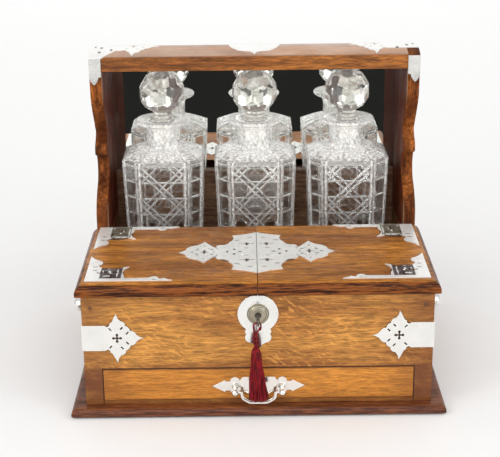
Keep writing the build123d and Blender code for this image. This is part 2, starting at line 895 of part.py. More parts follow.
def corner_outline():
    """Lid corner mount: a pierced square with a curled corner and a leg along each edge."""
    leg_u, leg_v = corner_legs
    with BuildSketch() as outline:
        with BuildLine():
            Polyline((0, leg_v), (0, 0), (leg_u, 0))
            scrolled([(leg_u, 0)] + [(u * leg_u, v * leg_v) for u, v in corner_edge])
        make_face()
        cross_piercing(0.17 * leg_u, 0.33 * leg_v)
        cross_piercing(0.29 * leg_u, 0.17 * leg_v)
        slit(0.085 * leg_u, 0.56 * leg_v, 0)
        slit(0.085 * leg_u, 0.74 * leg_v, 0)
        slit(0.34 * leg_u, 0.33 * leg_v, 45)
        slit(0.79 * leg_u, 0.055 * leg_v, 0)
    return outline.sketch


# Edge of the centre mount from its end on the lids' meeting line to its tip, as shares of its
# half length and of its reach: arcs by middle and end.
centre_edge = [
    (0.160, 0.890), (0.318, 0.828),
    (0.300, 0.730), (0.304, 0.638),
    (0.320, 0.560), (0.356, 0.483),
    (0.370, 0.410), (0.396, 0.371),
    (0.430, 0.340), (0.469, 0.341),
    (0.520, 0.290), (0.522, 0.224),
    (0.505, 0.170), (0.509, 0.129),
    (0.530, 0.200), (0.561, 0.241),
    (0.622, 0.378), (0.679, 0.517),
    (0.722, 0.420), (0.776, 0.341),
    (0.840, 0.300), (0.888, 0.233),
    (0.910, 0.180), (0.912, 0.121),
    (0.950, 0.055), (1.0, 0),
]


def centre_outline():
    """Half of the pierced mount over the lids' meeting edge, with u outward and v along it."""
    reach, half = centre_mount_reach, centre_mount_half
    with BuildSketch() as outline:
        with BuildLine():
            Polyline((reach, 0), (0, 0), (0, half))
            scrolled([(0, half)] + [(u * reach, v * half) for u, v in centre_edge])
        make_face()
        for side in (-1, 1):
            cross_piercing(0.13 * reach, 0.4 * half * side)
            slit(0.24 * reach, 0.4 * half * side, 0)
            slit(0.22 * reach, 0.62 * half * side, 0)
            slit(0.29 * reach, 0.12 * half * side, 30 * side)
            slit(0.42 * reach, 0.22 * half * side, 20 * side)
            slit(0.62 * reach, 0.17 * half * side, 50 * side)
            slit(0.76 * reach, 0.17 * half * side, -50 * side)
            slit(0.68 * reach, 0.31 * half * side, 90)
        cross_piercing(0.68 * reach, 0)
        slit(0.38 * reach, 0, 90)
        slit(0.22 * reach, 0, 0)
        slit(0.83 * reach, 0, 0)
    return outline.sketch


mount_edge = half_width - mount_edge_inset
mount_front = case_front + mount_front_inset
mount_middle = case_front + mount_middle_inset
for side, name in ((-1, "left"), (1, "right")):
    with BuildPart() as corner_mounts:
        front_corner = Plane(
            origin=(side * mount_edge, mount_front, lid_top), x_dir=(-side, 0, 0), z_dir=(0, 0, -side)
        )
        with BuildSketch(front_corner):
            add(corner_outline())
        extrude(amount=-side * silver)
        rear_corner = Plane(
            origin=(side * mount_edge, lid_rear, lid_top), x_dir=(-side, 0, 0), z_dir=(0, 0, side)
        )
        with BuildSketch(rear_corner):
            add(corner_outline())
        extrude(amount=side * silver)
    save(corner_mounts, f"{name}_corner_mounts")
    with BuildPart() as centre_mount:
        for half, direction in ((1, side), (-1, -side)):
            quarter = Plane(
                origin=(side * lid_inner, mount_middle, lid_top), x_dir=(side, 0, 0), z_dir=(0, 0, direction)
            )
            with BuildSketch(quarter):
                add(centre_outline())
            extrude(amount=direction * silver)
    save(centre_mount, f"{name}_centre_mount")


def canopy_skin(x0, x1):
    """The metal's thickness over the canopy's domed rail, between two places along X."""
    with BuildPart() as skin:
        with BuildSketch(Plane.YZ.offset(x0)):
            with BuildLine():
                dome = ThreePointArc(
                    (upright_front, arris_height),
                    (crown_depth, arris_height + crown_rise),
                    (rail_back, rail_back_height),
                )
                over = ThreePointArc(
                    (upright_front, arris_height + silver),
                    (crown_depth, arris_height + crown_rise + silver),
                    (rail_back, rail_back_height + silver),
                )
                Line(dome @ 0, over @ 0)
                Line(dome @ 1, over @ 1)
            make_face()
        extrude(amount=x1 - x0)
    return skin.part


canopy_skin_low = arris_height - crown_rise
canopy_skin_room = 3 * crown_rise
with BuildPart() as canopy_straps:
    for side in (-1, 1):
        strap_plane = Plane(
            origin=(side * half_width, crown_depth, canopy_skin_low), x_dir=(-side, 0, 0), z_dir=(0, 0, -side)
        )
        with BuildSketch(strap_plane):
            add(strap_outline(extra=canopy_strap_extra))
            # The corner runs forward to meet the upright's front cover.
            toward_front = side * crown_setback
            cusp = (2.3 * board_thick, side * 0.95 * strap_half)
            with BuildLine():
                Polyline(cusp, (0, 0), (0, toward_front), (1.1 * board_thick, toward_front))
                ThreePointArc(
                    (1.1 * board_thick, toward_front), (1.6 * board_thick, 0.76 * toward_front), cusp
                )
            make_face()
        extrude(amount=-side * canopy_skin_room)
    add(canopy_skin(-half_width, half_width), mode=Mode.INTERSECT)
save(canopy_straps, "canopy_straps")

with BuildPart() as canopy_cartouche:
    with BuildSketch(Plane.XY.offset(canopy_skin_low)):
        with BuildLine():
            half, depth = cartouche_half, cartouche_depth
            quarter = [(0.12, 0.78), (0.26, 0.70), (0.44, 0.68), (0.63, 0.62), (0.85, 0.40)]
            near = [(u * half, crown_depth - v * depth) for u, v in [(0, 1)] + quarter + [(1, 0)]]
            far = [(u * half, crown_depth + v * depth) for u, v in reversed(quarter)]
            scrolled(near + far + [(0, crown_depth + depth)])
            mirror(about=Plane.YZ)
        make_face()
    extrude(amount=canopy_skin_room)
    add(canopy_skin(-half_width, half_width), mode=Mode.INTERSECT)
save(canopy_cartouche, "canopy_cartouche")

with BuildPart() as upright_covers:
    for side in (-1, 1):
        outer, inner = side * half_width, side * inner_half
        leaf_inner = inner + side * cover_step
        middle = (outer + leaf_inner) / 2
        shoulder = arris_height - cover_shoulder
        with BuildSketch(facing_front(upright_front)):
            with BuildLine():
                Polyline((outer, shoulder), (outer, arris_height), (inner, arris_height), (inner, shoulder))
                tip = (middle, arris_height - cover_tip)
                waist = shoulder - 0.4 * (cover_tip - cover_shoulder)
                inner_side, outer_side = (leaf_inner + middle) / 2, (outer + middle) / 2
                Line((inner, shoulder), (leaf_inner, shoulder))
                ThreePointArc((leaf_inner, shoulder), (0.6 * leaf_inner + 0.4 * inner_side, waist), tip)
                ThreePointArc(tip, (0.6 * outer + 0.4 * outer_side, waist), (outer, shoulder))
            make_face()
        extrude(amount=silver)
save(upright_covers, "upright_covers")


# ---- Drawer ------------------------------------------------------------------------------
drawer_half = opening_half - drawer_air
drawer_low = opening_low + drawer_air
drawer_high = opening_high - drawer_air
drawer_back_y = case_front + drawer_length
drawer_side_high = drawer_high - drawer_side_drop
bottom_low = opening_low + drawer_bottom_raise
bottom_top = bottom_low + drawer_bottom_thick
drawer_inner = drawer_half - drawer_side_thick

with BuildPart() as drawer_front:
    slab((-drawer_half, drawer_half), (case_front, board_back), (drawer_low, drawer_high))
save(drawer_front, "drawer_front")

with BuildPart() as drawer_sides:
    for side in (-1, 1):
        slab(
            sorted((side * drawer_inner, side * drawer_half)),
            (board_back, drawer_back_y),
            (opening_low, drawer_side_high),
        )
save(drawer_sides, "drawer_sides")

with BuildPart() as drawer_back:
    slab(
        (-drawer_inner, drawer_inner),
        (drawer_back_y - drawer_side_thick, drawer_back_y),
        (bottom_top, drawer_side_high),
    )
save(drawer_back, "drawer_back")

with BuildPart() as drawer_bottom:
    slab((-drawer_inner, drawer_inner), (board_back, drawer_back_y), (bottom_low, bottom_top))
save(drawer_bottom, "drawer_bottom")

# The handle's plate is a centre shield with a lobe and a leaf on each side.
boss_x = 23.5
boss_ball = 3.7
bail_reach = 8.5            # bail axis in front of the case
bail_wire = 1.7
bail_pin = 1.1
bail_bore = bail_pin + shank_air
with BuildPart() as drawer_plate:
    with BuildSketch(facing_front(case_front)):
        plate_middle = (plate_top + plate_foot) / 2
        with BuildLine():
            clipped = (plate_centre_half, plate_top - 0.23 * plate_centre_half)
            Polyline((0, plate_top), (0.84 * plate_centre_half, plate_top), clipped)
            scrolled([
                clipped,
                (0.93 * plate_centre_half, plate_middle),
                (0.9 * plate_centre_half, plate_hang_height - 0.1 * plate_centre_half),
                (0.5 * plate_centre_half, plate_foot + 0.06 * plate_centre_half),
                (0, plate_foot),
            ])
            mirror(about=Plane.YZ)
        make_face()
        for side in (-1, 1):
            with Locations((side * boss_x, plate_hang_height), (side * boss_x, plate_top - plate_lobe)):
                Circle(plate_lobe)
            with Locations((side * (plate_centre_half + plate_waist) / 2, plate_middle)):
                Rectangle(plate_waist - 0.8 * plate_centre_half, 1.5 * leaf_half)
            with BuildLine():
                Polyline(
                    (side * plate_waist, plate_middle - 0.55 * leaf_half),
                    (side * (plate_waist + 0.2 * leaf_half), plate_middle - leaf_half),
                    (side * plate_tip, plate_middle),
                    (side * (plate_waist + 0.2 * leaf_half), plate_middle + leaf_half),
                    (side * plate_waist, plate_middle + 0.55 * leaf_half),
                    (side * (plate_centre_half + 1), plate_middle),
                    close=True,
                )
            make_face()
    extrude(amount=silver)
    for side in (-1, 1):
        with BuildSketch(facing_front(case_front)):
            with Locations((side * boss_x, plate_hang_height)):
                Circle(2)
        extrude(amount=bail_reach)
        with Locations(Location((side * boss_x, case_front - bail_reach, plate_hang_height), (0, 0, 45))):
            Sphere(boss_ball)
        with Locations(Location((side * boss_x, case_front - bail_reach, plate_hang_height), (0, 90, 0))):
            Cylinder(bail_bore, 2 * boss_ball, mode=Mode.SUBTRACT)
save(drawer_plate, "drawer_plate")

bail_inner = boss_x - boss_ball - 0.4
bail_drop = 10.2
bail_points = [
    (bail_inner - bail_wire - 0.6, 0, 0),
    (bail_inner - 3.3, -1.0, -0.57 * bail_drop),
    (bail_inner - 10.5, -1.6, -bail_drop),
]
right_half = [(x, case_front - bail_reach + y, plate_hang_height + z) for x, y, z in bail_points]
left_half = [(-x, y, z) for x, y, z in right_half]
with BuildPart() as drawer_bail:
    with BuildLine() as bail_path:
        FilletPolyline(*left_half, *reversed(right_half), radius=[4.5, 9.0, 9.0, 4.5])
    with BuildSketch(Plane(origin=bail_path.line @ 0, z_dir=bail_path.line % 0)):
        Circle(bail_wire)
    sweep()
    for side in (-1, 1):
        hook_x = bail_inner - bail_wire - 0.6
        with Locations(
            Location((side * (hook_x + boss_x) / 2, case_front - bail_reach, plate_hang_height), (0, 90, 0))
        ):
            Cylinder(bail_pin, boss_x - hook_x)
save(drawer_bail, "drawer_bail")


# ---- Side handles: two posts with balls and a swinging bail ---------------------------------
post_reach = 14.5
post_ball = 7.5
post_stem = 4.0
rosette_radius = 11.0
rosette_thick = 2.0
side_bail_wire = 2.5
side_bail_pin = 1.8
side_bail_drop = 27.0
handle_y = case_front + handle_from_front
post_places = [handle_y + end * handle_spacing / 2 for end in (-1, 1)]
side_axis_x = half_width + post_reach

with BuildPart() as handle_posts:
    for side in (-1, 1):
        for y in post_places:
            outward = Plane(origin=(side * half_width, y, handle_height), z_dir=(side, 0, 0))
            with BuildSketch(outward):
                Circle(rosette_radius)
            extrude(amount=rosette_thick)
            with BuildSketch(outward):
                Circle(post_stem)
            extrude(amount=post_reach)
            with Locations((side * side_axis_x, y, handle_height)):
                Sphere(post_ball)
            with Locations(Location((side * side_axis_x, y, handle_height), (90, 0, 0))):
                Cylinder(side_bail_pin + shank_air, 2 * post_ball, mode=Mode.SUBTRACT)
save(handle_posts, "handle_posts")

pin_start = handle_spacing / 2 - post_ball - 0.5
for side, name in ((-1, "left_handle_bail"), (1, "right_handle_bail")):
    bail_x = side * side_axis_x
    near = [
        (bail_x, pin_start - side_bail_wire - 0.2, 0),
        (bail_x, pin_start - side_bail_wire - 1.2, -13),
        (bail_x, pin_start - 9, -side_bail_drop),
    ]
    front_half = [(x, handle_y - y, handle_height + z) for x, y, z in near]
    rear_half = [(x, handle_y + y, handle_height + z) for x, y, z in reversed(near)]
    with BuildPart() as handle_bail:
        with BuildLine() as handle_path:
            FilletPolyline(*front_half, *rear_half, radius=5.5)
        with BuildSketch(Plane(origin=handle_path.line @ 0, z_dir=handle_path.line % 0)):
            Circle(side_bail_wire)
        sweep()
        for end in (-1, 1):
            inner_y = pin_start - side_bail_wire - 0.2
            outer_y = handle_spacing / 2
            middle = handle_y + end * (inner_y + outer_y) / 2
            with Locations(Location((bail_x, middle, handle_height), (90, 0, 0))):
                Cylinder(side_bail_pin, outer_y - inner_y)
            with Locations((bail_x, handle_y + end * inner_y, handle_height)):
                Sphere(side_bail_wire)
    save(handle_bail, name)


# ---- Decanters and ball stoppers ---------------------------------------------------------
def canted_square(width, corner):
    """A square with its corners cut off, as in plan of a decanter's body."""
    with BuildSketch() as plan:
        Rectangle(width, width)
        chamfer(plan.vertices(), corner)
    return plan.sketch


body_flare = 2 * shoulder_height * tan(radians(body_taper))
base_width = body_width - body_flare
dome_top = neck_base_height + 3
inner_width = base_width - 2 * glass_wall

with BuildPart() as decanter_shape:
    with BuildSketch():
        add(canted_square(base_width, body_corner))
    extrude(amount=dome_top, taper=-body_taper)
    with BuildSketch(Plane.XZ) as dome_section:
        with BuildLine():
            Polyline((neck_base_radius, neck_base_height), (0, neck_base_height), (0, 0), (70, 0))
            Line((70, 0), (70, shoulder_height - 7))
            ThreePointArc(
                (70, shoulder_height - 7),
                (body_width / 2, shoulder_height + 1.2),
                (neck_base_radius, neck_base_height),
            )
        make_face()
    revolve(mode=Mode.INTERSECT)
    with BuildSketch(Plane.XZ):
        with BuildLine():
            Polyline((neck_base_radius, neck_base_height), (0, neck_base_height - 4), (0, lip_top_height))
            Line((0, lip_top_height), (lip_radius - 1.2, lip_top_height))
            ThreePointArc(
                (lip_radius - 1.2, lip_top_height),
                (lip_radius, (lip_top_height + lip_under_height) / 2 + 0.4),
                (lip_radius - 2, lip_under_height),
            )
            ThreePointArc(
                (lip_radius - 2, lip_under_height),
                (neck_radius + 2.5, lip_under_height - 3),
                (neck_radius, lip_under_height - 10),
            )
            Line((neck_radius, lip_under_height - 10), (neck_radius, neck_base_height + 5))
            ThreePointArc(
                (neck_radius, neck_base_height + 5),
                (neck_radius + 0.4, neck_base_height + 2),
                (neck_base_radius, neck_base_height),
            )
        make_face()
    revolve()
    # Inside: a canted well under the same dome, and a bore that narrows for the stopper.
    with BuildPart(mode=Mode.PRIVATE) as well:
        with BuildSketch(Plane.XY.offset(glass_base)):
            add(canted_square(inner_width, body_corner - glass_wall * 0.6))
        extrude(amount=shoulder_height - glass_base - 2, taper=-body_taper)
    add(well.part, mode=Mode.SUBTRACT)
    with BuildSketch(Plane.XZ):
        with BuildLine():
            Polyline(
                (0, shoulder_height - 4),
                (bore_low_radius, shoulder_height - 4),
                (bore_low_radius, lip_top_height - bore_taper_length),
                (bore_top_radius, lip_top_height),
                (0, lip_top_height),
                close=True,
            )
        make_face()
    revolve(mode=Mode.SUBTRACT)

# The ball's rows of facets: latitude, number, turn as a share of one facet, reach over ball_facet.
facet_rows = [
    (62, ball_sides // 2, 0.25, 1.009),
    (32, ball_sides, 0.75, 1.017),
    (0, ball_sides, 0.25, 1.0),
    (-32, ball_sides, 0.75, 1.017),
    (-58, ball_sides, 0.25, 0.983),
]
ball_foot = 0.88 * ball_facet
with BuildPart() as stopper_shape:
    with Locations((0, 0, ball_height + (ball_facet - ball_foot) / 2)):
        Box(2.4 * ball_facet, 2.4 * ball_facet, ball_facet + ball_foot)
    for latitude, number, turn, reach in facet_rows:
        for k in range(number):
            around = 2 * pi * (k + turn) / number
            rise = radians(latitude)
            normal = (cos(around) * cos(rise), sin(around) * cos(rise), sin(rise))
            foot = [part * reach * ball_facet for part in normal]
            foot[2] += ball_height
            split(bisect_by=Plane(origin=foot, z_dir=normal), keep=Keep.BOTTOM)
    with BuildSketch(Plane.XZ):
        with BuildLine():
            Polyline(
                (0, ball_height - ball_foot + 1),
                (stopper_neck_radius, ball_height - ball_foot + 1),
                (stopper_neck_radius, lip_top_height + 1.5),
                (bore_top_radius - plug_air, lip_top_height),
                (bore_low_radius - plug_air, lip_top_height - bore_taper_length),
                (0, lip_top_height - bore_taper_length),
                close=True,
            )
        make_face()
    revolve()

for name, x in decanter_places.items():
    with BuildPart() as decanter:
        with Locations((x, decanter_y, deck_top)):
            add(decanter_shape.part)
    save(decanter, f"{name}_decanter")
    with BuildPart() as stopper:
        with Locations((x, decanter_y, deck_top)):
            add(stopper_shape.part)
    save(stopper, f"{name}_stopper")
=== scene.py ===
"""Looks of an antique oak tantalus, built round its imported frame. Metres, +Z up, front towards -Y."""

import math
import random

import bmesh
import bpy
import numpy as np
from mathutils import Matrix, Vector


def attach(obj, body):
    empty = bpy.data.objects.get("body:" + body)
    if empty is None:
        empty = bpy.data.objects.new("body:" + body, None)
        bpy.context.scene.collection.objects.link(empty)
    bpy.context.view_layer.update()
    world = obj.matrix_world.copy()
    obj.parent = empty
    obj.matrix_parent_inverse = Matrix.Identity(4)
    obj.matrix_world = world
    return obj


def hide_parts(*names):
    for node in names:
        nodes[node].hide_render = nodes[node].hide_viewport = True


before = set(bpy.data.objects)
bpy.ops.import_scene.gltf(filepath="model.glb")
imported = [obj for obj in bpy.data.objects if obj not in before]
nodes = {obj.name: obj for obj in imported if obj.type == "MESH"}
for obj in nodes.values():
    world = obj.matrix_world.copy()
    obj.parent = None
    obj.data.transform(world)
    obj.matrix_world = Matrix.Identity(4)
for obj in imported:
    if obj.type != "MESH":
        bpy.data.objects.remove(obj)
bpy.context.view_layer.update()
scene = bpy.context.scene
MM = 0.001

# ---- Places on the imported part, in metres ----------------------------------------------------
LOCK_HEIGHT = 0.1068
BOW_Y = -0.15625               # middle of the key's ring
LIDS_MIDDLE_Y = -0.05325       # the lid mounts mirror about this line, front to back
INNER_FACE_X = 0.1602          # the uprights' faces towards the decanters, from the middle
MOUNT_TOP = 0.1405             # upper face of the silver on the lids
DECK_TOP = 0.095               # the decanters stand here
DECANTER_Y, DECANTER_STEP = 0.07665, 0.1005

# ---- Camera ------------------------------------------------------------------------------
CAMERA_PLACE = (-0.008995, -1.294288, 0.612064)
CAMERA_TURN = (0.105487, 19.78895, -0.637445)      # yaw, pitch and roll in degrees
camera_data = bpy.data.cameras.new("camera")
camera_data.lens = 92.944
camera_data.sensor_width = 36.0
camera = bpy.data.objects.new("camera", camera_data)
scene.collection.objects.link(camera)
scene.camera = camera
yaw, pitch, roll = (math.radians(a) for a in CAMERA_TURN)
forward = Vector((math.sin(yaw) * math.cos(pitch), math.cos(yaw) * math.cos(pitch), -math.sin(pitch)))
level = Vector((math.cos(yaw), -math.sin(yaw), 0.0))
above = level.cross(forward)
right = level * math.cos(roll) + above * math.sin(roll)
upward = above * math.cos(roll) - level * math.sin(roll)
turn = Matrix((right, upward, -forward)).transposed()
camera.matrix_world = Matrix.Translation(CAMERA_PLACE) @ turn.to_4x4()


# ---- Small helpers -------------------------------------------------------------------------
def add_object(name, data, body=None, replaces=(), place=(0, 0, 0)):
    """A new object in the scene that rides on a body of the frame."""
    made = bpy.data.objects.new(name, data)
    made.location = place
    scene.collection.objects.link(made)
    if body:
        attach(made, body)
    if replaces:
        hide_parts(*replaces)
    return made


def mesh_from(build, name):
    """A mesh made by a function that fills a bmesh."""
    work = bmesh.new()
    build(work)
    bmesh.ops.recalc_face_normals(work, faces=work.faces)
    data = bpy.data.meshes.new(name)
    work.to_mesh(data)
    work.free()
    return data


def ring_faces(work, lower, upper, smooth=True):
    """Quads between two closed rings of as many vertices."""
    count = len(lower)
    for i in range(count):
        j = (i + 1) % count
        work.faces.new((lower[i], lower[j], upper[j], upper[i])).smooth = smooth


def lathe(work, profile, sides, centre=(0, 0, 0)):
    """A closed turned shape about Z from (radius, height) pairs; radius 0 ends it in a point."""
    centre = Vector(centre)
    rings = []
    for radius, height in profile:
        if radius <= 0:
            rings.append(work.verts.new(centre + Vector((0, 0, height))))
            continue
        ring = []
        for i in range(sides):
            angle = 2 * math.pi * i / sides
            spoke = Vector((radius * math.cos(angle), radius * math.sin(angle), height))
            ring.append(work.verts.new(centre + spoke))
        rings.append(ring)
    for low, high in zip(rings, rings[1:]):
        if isinstance(low, list) and isinstance(high, list):
            ring_faces(work, low, high)
            continue
        point, ring = (high, low) if isinstance(low, list) else (low, high)
        for i in range(sides):
            work.faces.new((point, ring[i], ring[(i + 1) % sides])).smooth = True
    for end in (rings[0], rings[-1]):
        if isinstance(end, list):
            work.faces.new(end)


ASKEW = Vector((0.31, 0.87, 0.38))      # a direction that no tube here runs along


def tube(work, points, radius, sides=6, taper=None):
    """A closed tube with flat ends along points; taper gives its share of the radius."""
    rings = []
    previous = None
    for i, point in enumerate(points):
        here = Vector(point)
        before = Vector(points[max(i - 1, 0)])
        after = Vector(points[min(i + 1, len(points) - 1)])
        along = (after - before).normalized()
        side = along.cross(ASKEW) if previous is None else previous - along * previous.dot(along)
        side.normalize()
        previous = side
        other = along.cross(side)
        r = radius * (taper(i / (len(points) - 1)) if taper else 1)
        ring = []
        for k in range(sides):
            angle = 2 * math.pi * k / sides
            ring.append(work.verts.new(here + side * (r * math.cos(angle)) + other * (r * math.sin(angle))))
        rings.append(ring)
    for low, high in zip(rings, rings[1:]):
        ring_faces(work, low, high)
    work.faces.new(rings[0])
    work.faces.new(rings[-1])


# ---- Material helpers ------------------------------------------------------------------------
class Shader:
    """A material's node tree, with short calls for the nodes used here."""

    def __init__(self, name):
        self.material = bpy.data.materials.new(name)
        self.material.use_nodes = True
        self.tree = self.material.node_tree
        self.tree.nodes.clear()

    def node(self, kind, inputs=None, **settings):
        """A new node. An input that is a socket is linked, and any other is set."""
        made = self.tree.nodes.new(kind)
        for key, value in settings.items():
            setattr(made, key, value)
        for key, value in (inputs or {}).items():
            if isinstance(value, bpy.types.NodeSocket):
                self.tree.links.new(value, made.inputs[key])
            else:
                made.inputs[key].default_value = value
        return made

    def place(self):
        """Where the surface point lies in its object's own metres."""
        return self.node("ShaderNodeTexCoord").outputs["Object"]

    def math(self, operation, a, b=0.0, clamp=False):
        return self.node("ShaderNodeMath", {0: a, 1: b}, operation=operation, use_clamp=clamp).outputs[0]

    def length(self, vector):
        return self.node("ShaderNodeVectorMath", {0: vector}, operation="LENGTH").outputs["Value"]

    def parts(self, vector):
        split = self.node("ShaderNodeSeparateXYZ", {0: vector})
        return split.outputs[0], split.outputs[1], split.outputs[2]

    def vector(self, x, y, z):
        return self.node("ShaderNodeCombineXYZ", {0: x, 1: y, 2: z}).outputs[0]

    def mapped(self, vector, scale=(1, 1, 1), rotation=(0, 0, 0), location=(0, 0, 0)):
        angles = [math.radians(a) for a in rotation]
        return self.node(
            "ShaderNodeMapping", {"Vector": vector, "Scale": scale, "Rotation": angles, "Location": location}
        ).outputs[0]

    def noise(self, vector, scale=1.0, detail=2.0, rough=0.5, warp=0.0):
        return self.node(
            "ShaderNodeTexNoise",
            {"Vector": vector, "Scale": scale, "Detail": detail, "Roughness": rough, "Distortion": warp},
        ).outputs["Fac"]

    def between(self, value, low, high, out_low=0.0, out_high=1.0):
        """A smooth step of a value from one limit to the other; the limits may fall."""
        return self.node(
            "ShaderNodeMapRange",
            {"Value": value, "From Min": low, "From Max": high, "To Min": out_low, "To Max": out_high},
            interpolation_type="SMOOTHSTEP",
        ).outputs[0]

    def mix(self, amount, a, b, blend="MIX"):
        """Colour a turning into colour b as the amount goes from 0 to 1."""
        made = self.node("ShaderNodeMix", {0: amount}, data_type="RGBA", blend_type=blend)
        for socket, value in ((made.inputs[6], a), (made.inputs[7], b)):
            if isinstance(value, bpy.types.NodeSocket):
                self.tree.links.new(value, socket)
            else:
                socket.default_value = (*value, 1.0)
        return made.outputs[2]

    def bump(self, height, distance, strength=1.0, under=None):
        """A normal from a height, laid over another normal where one is given."""
        inputs = {"Height": height, "Distance": distance, "Strength": strength}
        if under is not None:
            inputs["Normal"] = under
        return self.node("ShaderNodeBump", inputs).outputs[0]

    def soft_edges(self, radius):
        """A normal that rounds the mesh's edges."""
        return self.node("ShaderNodeBevel", {"Radius": radius}, samples=4).outputs[0]

    def finish(self, **inputs):
        """Close the tree with a Principled shader; names are its inputs with underscores for spaces."""
        named = {key.replace("_", " "): value for key, value in inputs.items()}
        for key, value in named.items():
            if isinstance(value, tuple) and len(value) == 3:
                named[key] = (*value, 1.0)
        surface = self.node("ShaderNodeBsdfPrincipled", named)
        self.node("ShaderNodeOutputMaterial", {"Surface": surface.outputs[0]})
        return self.material


def dress(material, *names):
    """Give CAD nodes a material through their objects' own slots."""
    for name in names:
        made = nodes[name]
        for index in range(max(1, len(made.material_slots))):
            if not made.material_slots:
                made.data.materials.append(None)
            made.material_slots[index].link = "OBJECT"
            made.material_slots[index].material = material


def wood(name, pale, dark, seed, grain="X", flecks=0.0, fleck_turn=(0, -38, 0), rough=0.36, coat=0.1,
         specular=0.25, contrast=1.0, shade=None):
    """Old polished oak: bands, fibres and pores along the grain, and ray flecks across it.

    The scales of a Mapping are in waves per metre, along the grain first. flecks is how strongly the
    rays show, contrast how far the figure departs from its mean, and shade paints over the whole board.
    """
    s = Shader(name)
    at = s.mapped(s.place(), location=(seed * 0.37, seed * 0.23, seed * 0.31))
    x, y, z = s.parts(at)
    v = s.vector(*{"X": (x, y, z), "Y": (y, x, z), "Z": (z, y, x)}[grain])
    sway = s.math("MULTIPLY", s.noise(s.mapped(v, (9, 30, 30)), 1.0, 2), 0.012)
    v = s.node("ShaderNodeVectorMath", {0: v, 1: s.vector(0.0, sway, sway)}, operation="ADD").outputs[0]
    bands = s.noise(s.mapped(v, (4, 85, 85)), 1.0, 5, 0.65)
    patches = s.noise(s.mapped(v, (8, 16, 16)), 1.0, 3)
    fibre = s.noise(s.mapped(v, (85, 760, 760)), 1.0, 3, 0.65)
    streak = s.noise(s.mapped(v, (26, 310, 310)), 1.0, 4, 0.75)
    pore = s.between(s.noise(s.mapped(v, (80, 1100, 1100)), 1.0, 2), 0.55, 0.68)
    tone = s.math("ADD", s.math("MULTIPLY", bands, 0.62), s.math("MULTIPLY", patches, 0.38))
    reach = 0.13 / contrast
    colour = s.mix(s.between(tone, 0.5 - reach, 0.5 + reach), dark, pale)
    thread = s.between(fibre, 0.34, 0.66, 1.0 - 0.34 * contrast, 1.0 + 0.2 * contrast)
    streaks = s.between(streak, 0.36, 0.62, 1.0 - 0.42 * contrast, 1.0 + 0.16 * contrast)
    thread = s.math("MULTIPLY", thread, streaks)
    colour = s.mix(1.0, colour, s.vector(thread, thread, thread), "MULTIPLY")
    if flecks:
        turned = s.mapped(s.mapped(at, rotation=fleck_turn), (95, 150, 360))
        ray = s.between(s.noise(turned, 1.0, 2, 0.5, 0.4), 0.54, 0.68)
        where = s.between(s.noise(s.mapped(at, (11, 11, 22)), 1.0, 2), 0.42, 0.6)
        bright = tuple(min(1.0, c * 1.3) for c in pale)
        colour = s.mix(s.math("MULTIPLY", s.math("MULTIPLY", ray, where), flecks), colour, bright)
    colour = s.mix(s.math("MULTIPLY", pore, 0.6 * contrast), colour, tuple(c * 0.35 for c in dark))
    if shade:
        colour = shade(s, colour)
    height = s.math("SUBTRACT", s.math("MULTIPLY", fibre, 0.5), pore)
    normal = s.bump(height, 0.00022, 0.7, s.soft_edges(0.0007))
    roughness = s.between(s.noise(s.mapped(v, (12, 40, 40)), 1.0, 3), 0.3, 0.7, rough - 0.06, rough + 0.12)
    return s.finish(
        Base_Color=colour, Roughness=roughness, Normal=normal, Specular_IOR_Level=specular,
        Coat_Weight=coat, Coat_Roughness=0.12,
    )


def within(s, value, low, high, soft):
    """1 where a value lies between two limits, falling to 0 over a soft edge outside them."""
    return s.math("MULTIPLY", s.between(value, low - soft, low), s.between(value, high + soft, high))


def spot(s, u, v, centre, radius):
    """1 inside a circle in the plane of u and v, falling to 0 just outside it."""
    away = s.vector(s.math("SUBTRACT", u, centre[0]), s.math("SUBTRACT", v, centre[1]), 0.0)
    return s.between(s.length(away), radius + 0.0015, radius)


# Dark colour for dirt, and for painted shade in gaps, holes and piercings.
DIRT_AND_SHADE = (0.045, 0.016, 0.007)
# Dark red-brown for darker wood, and for painted shade in the drawer's gaps.
NOSING = (0.13, 0.036, 0.013)


def mottled(s, mask, amount):
    """A mask broken up by cloudy noise."""
    mottle = s.noise(s.mapped(s.place(), (30, 30, 45)), 1.0, 3)
    return s.math("MULTIPLY", mask, s.between(mottle, 0.2, 0.7, 0.55 * amount, amount))


def front_shade(s, colour):
    """Dark stiles beside the drawer, darker ends, painted shade in the gaps round the drawer and in the
    keyhole, and dirt with painted shade in the straps' piercings.
    """
    x, _, z = s.parts(s.place())
    side = s.math("ABSOLUTE", x)
    stile = s.math("MULTIPLY", s.between(side, 0.1537, 0.1553), s.between(z, 0.053, 0.047))
    rail = s.between(z, 0.0162, 0.0142)
    ends = s.between(side, 0.112, 0.172, 0.0, 0.8)
    colour = s.mix(mottled(s, s.math("MAXIMUM", stile, rail), 0.75), colour, NOSING)
    colour = s.mix(mottled(s, ends, 0.75), colour, NOSING)
    # Painted shade: dark lines in the gaps above and beside the drawer.
    over = s.math("MULTIPLY", within(s, z, 0.0481, 0.0492, 0.0004), s.between(side, 0.1556, 0.1548))
    beside = s.math("MULTIPLY", within(s, side, 0.1544, 0.1552, 0.0003), s.between(z, 0.0495, 0.0488))
    colour = s.mix(s.math("MULTIPLY", s.math("MAXIMUM", over, beside), 0.9), colour, DIRT_AND_SHADE)
    # Dirt with painted shade in the straps' piercings, and painted shade in the keyhole.
    pierced = spot(s, side, z, (0.1387, 0.0825), 0.0155)
    keyhole = spot(s, x, z, (0.0, LOCK_HEIGHT), 0.004)
    return s.mix(s.math("MAXIMUM", pierced, keyhole), colour, DIRT_AND_SHADE)


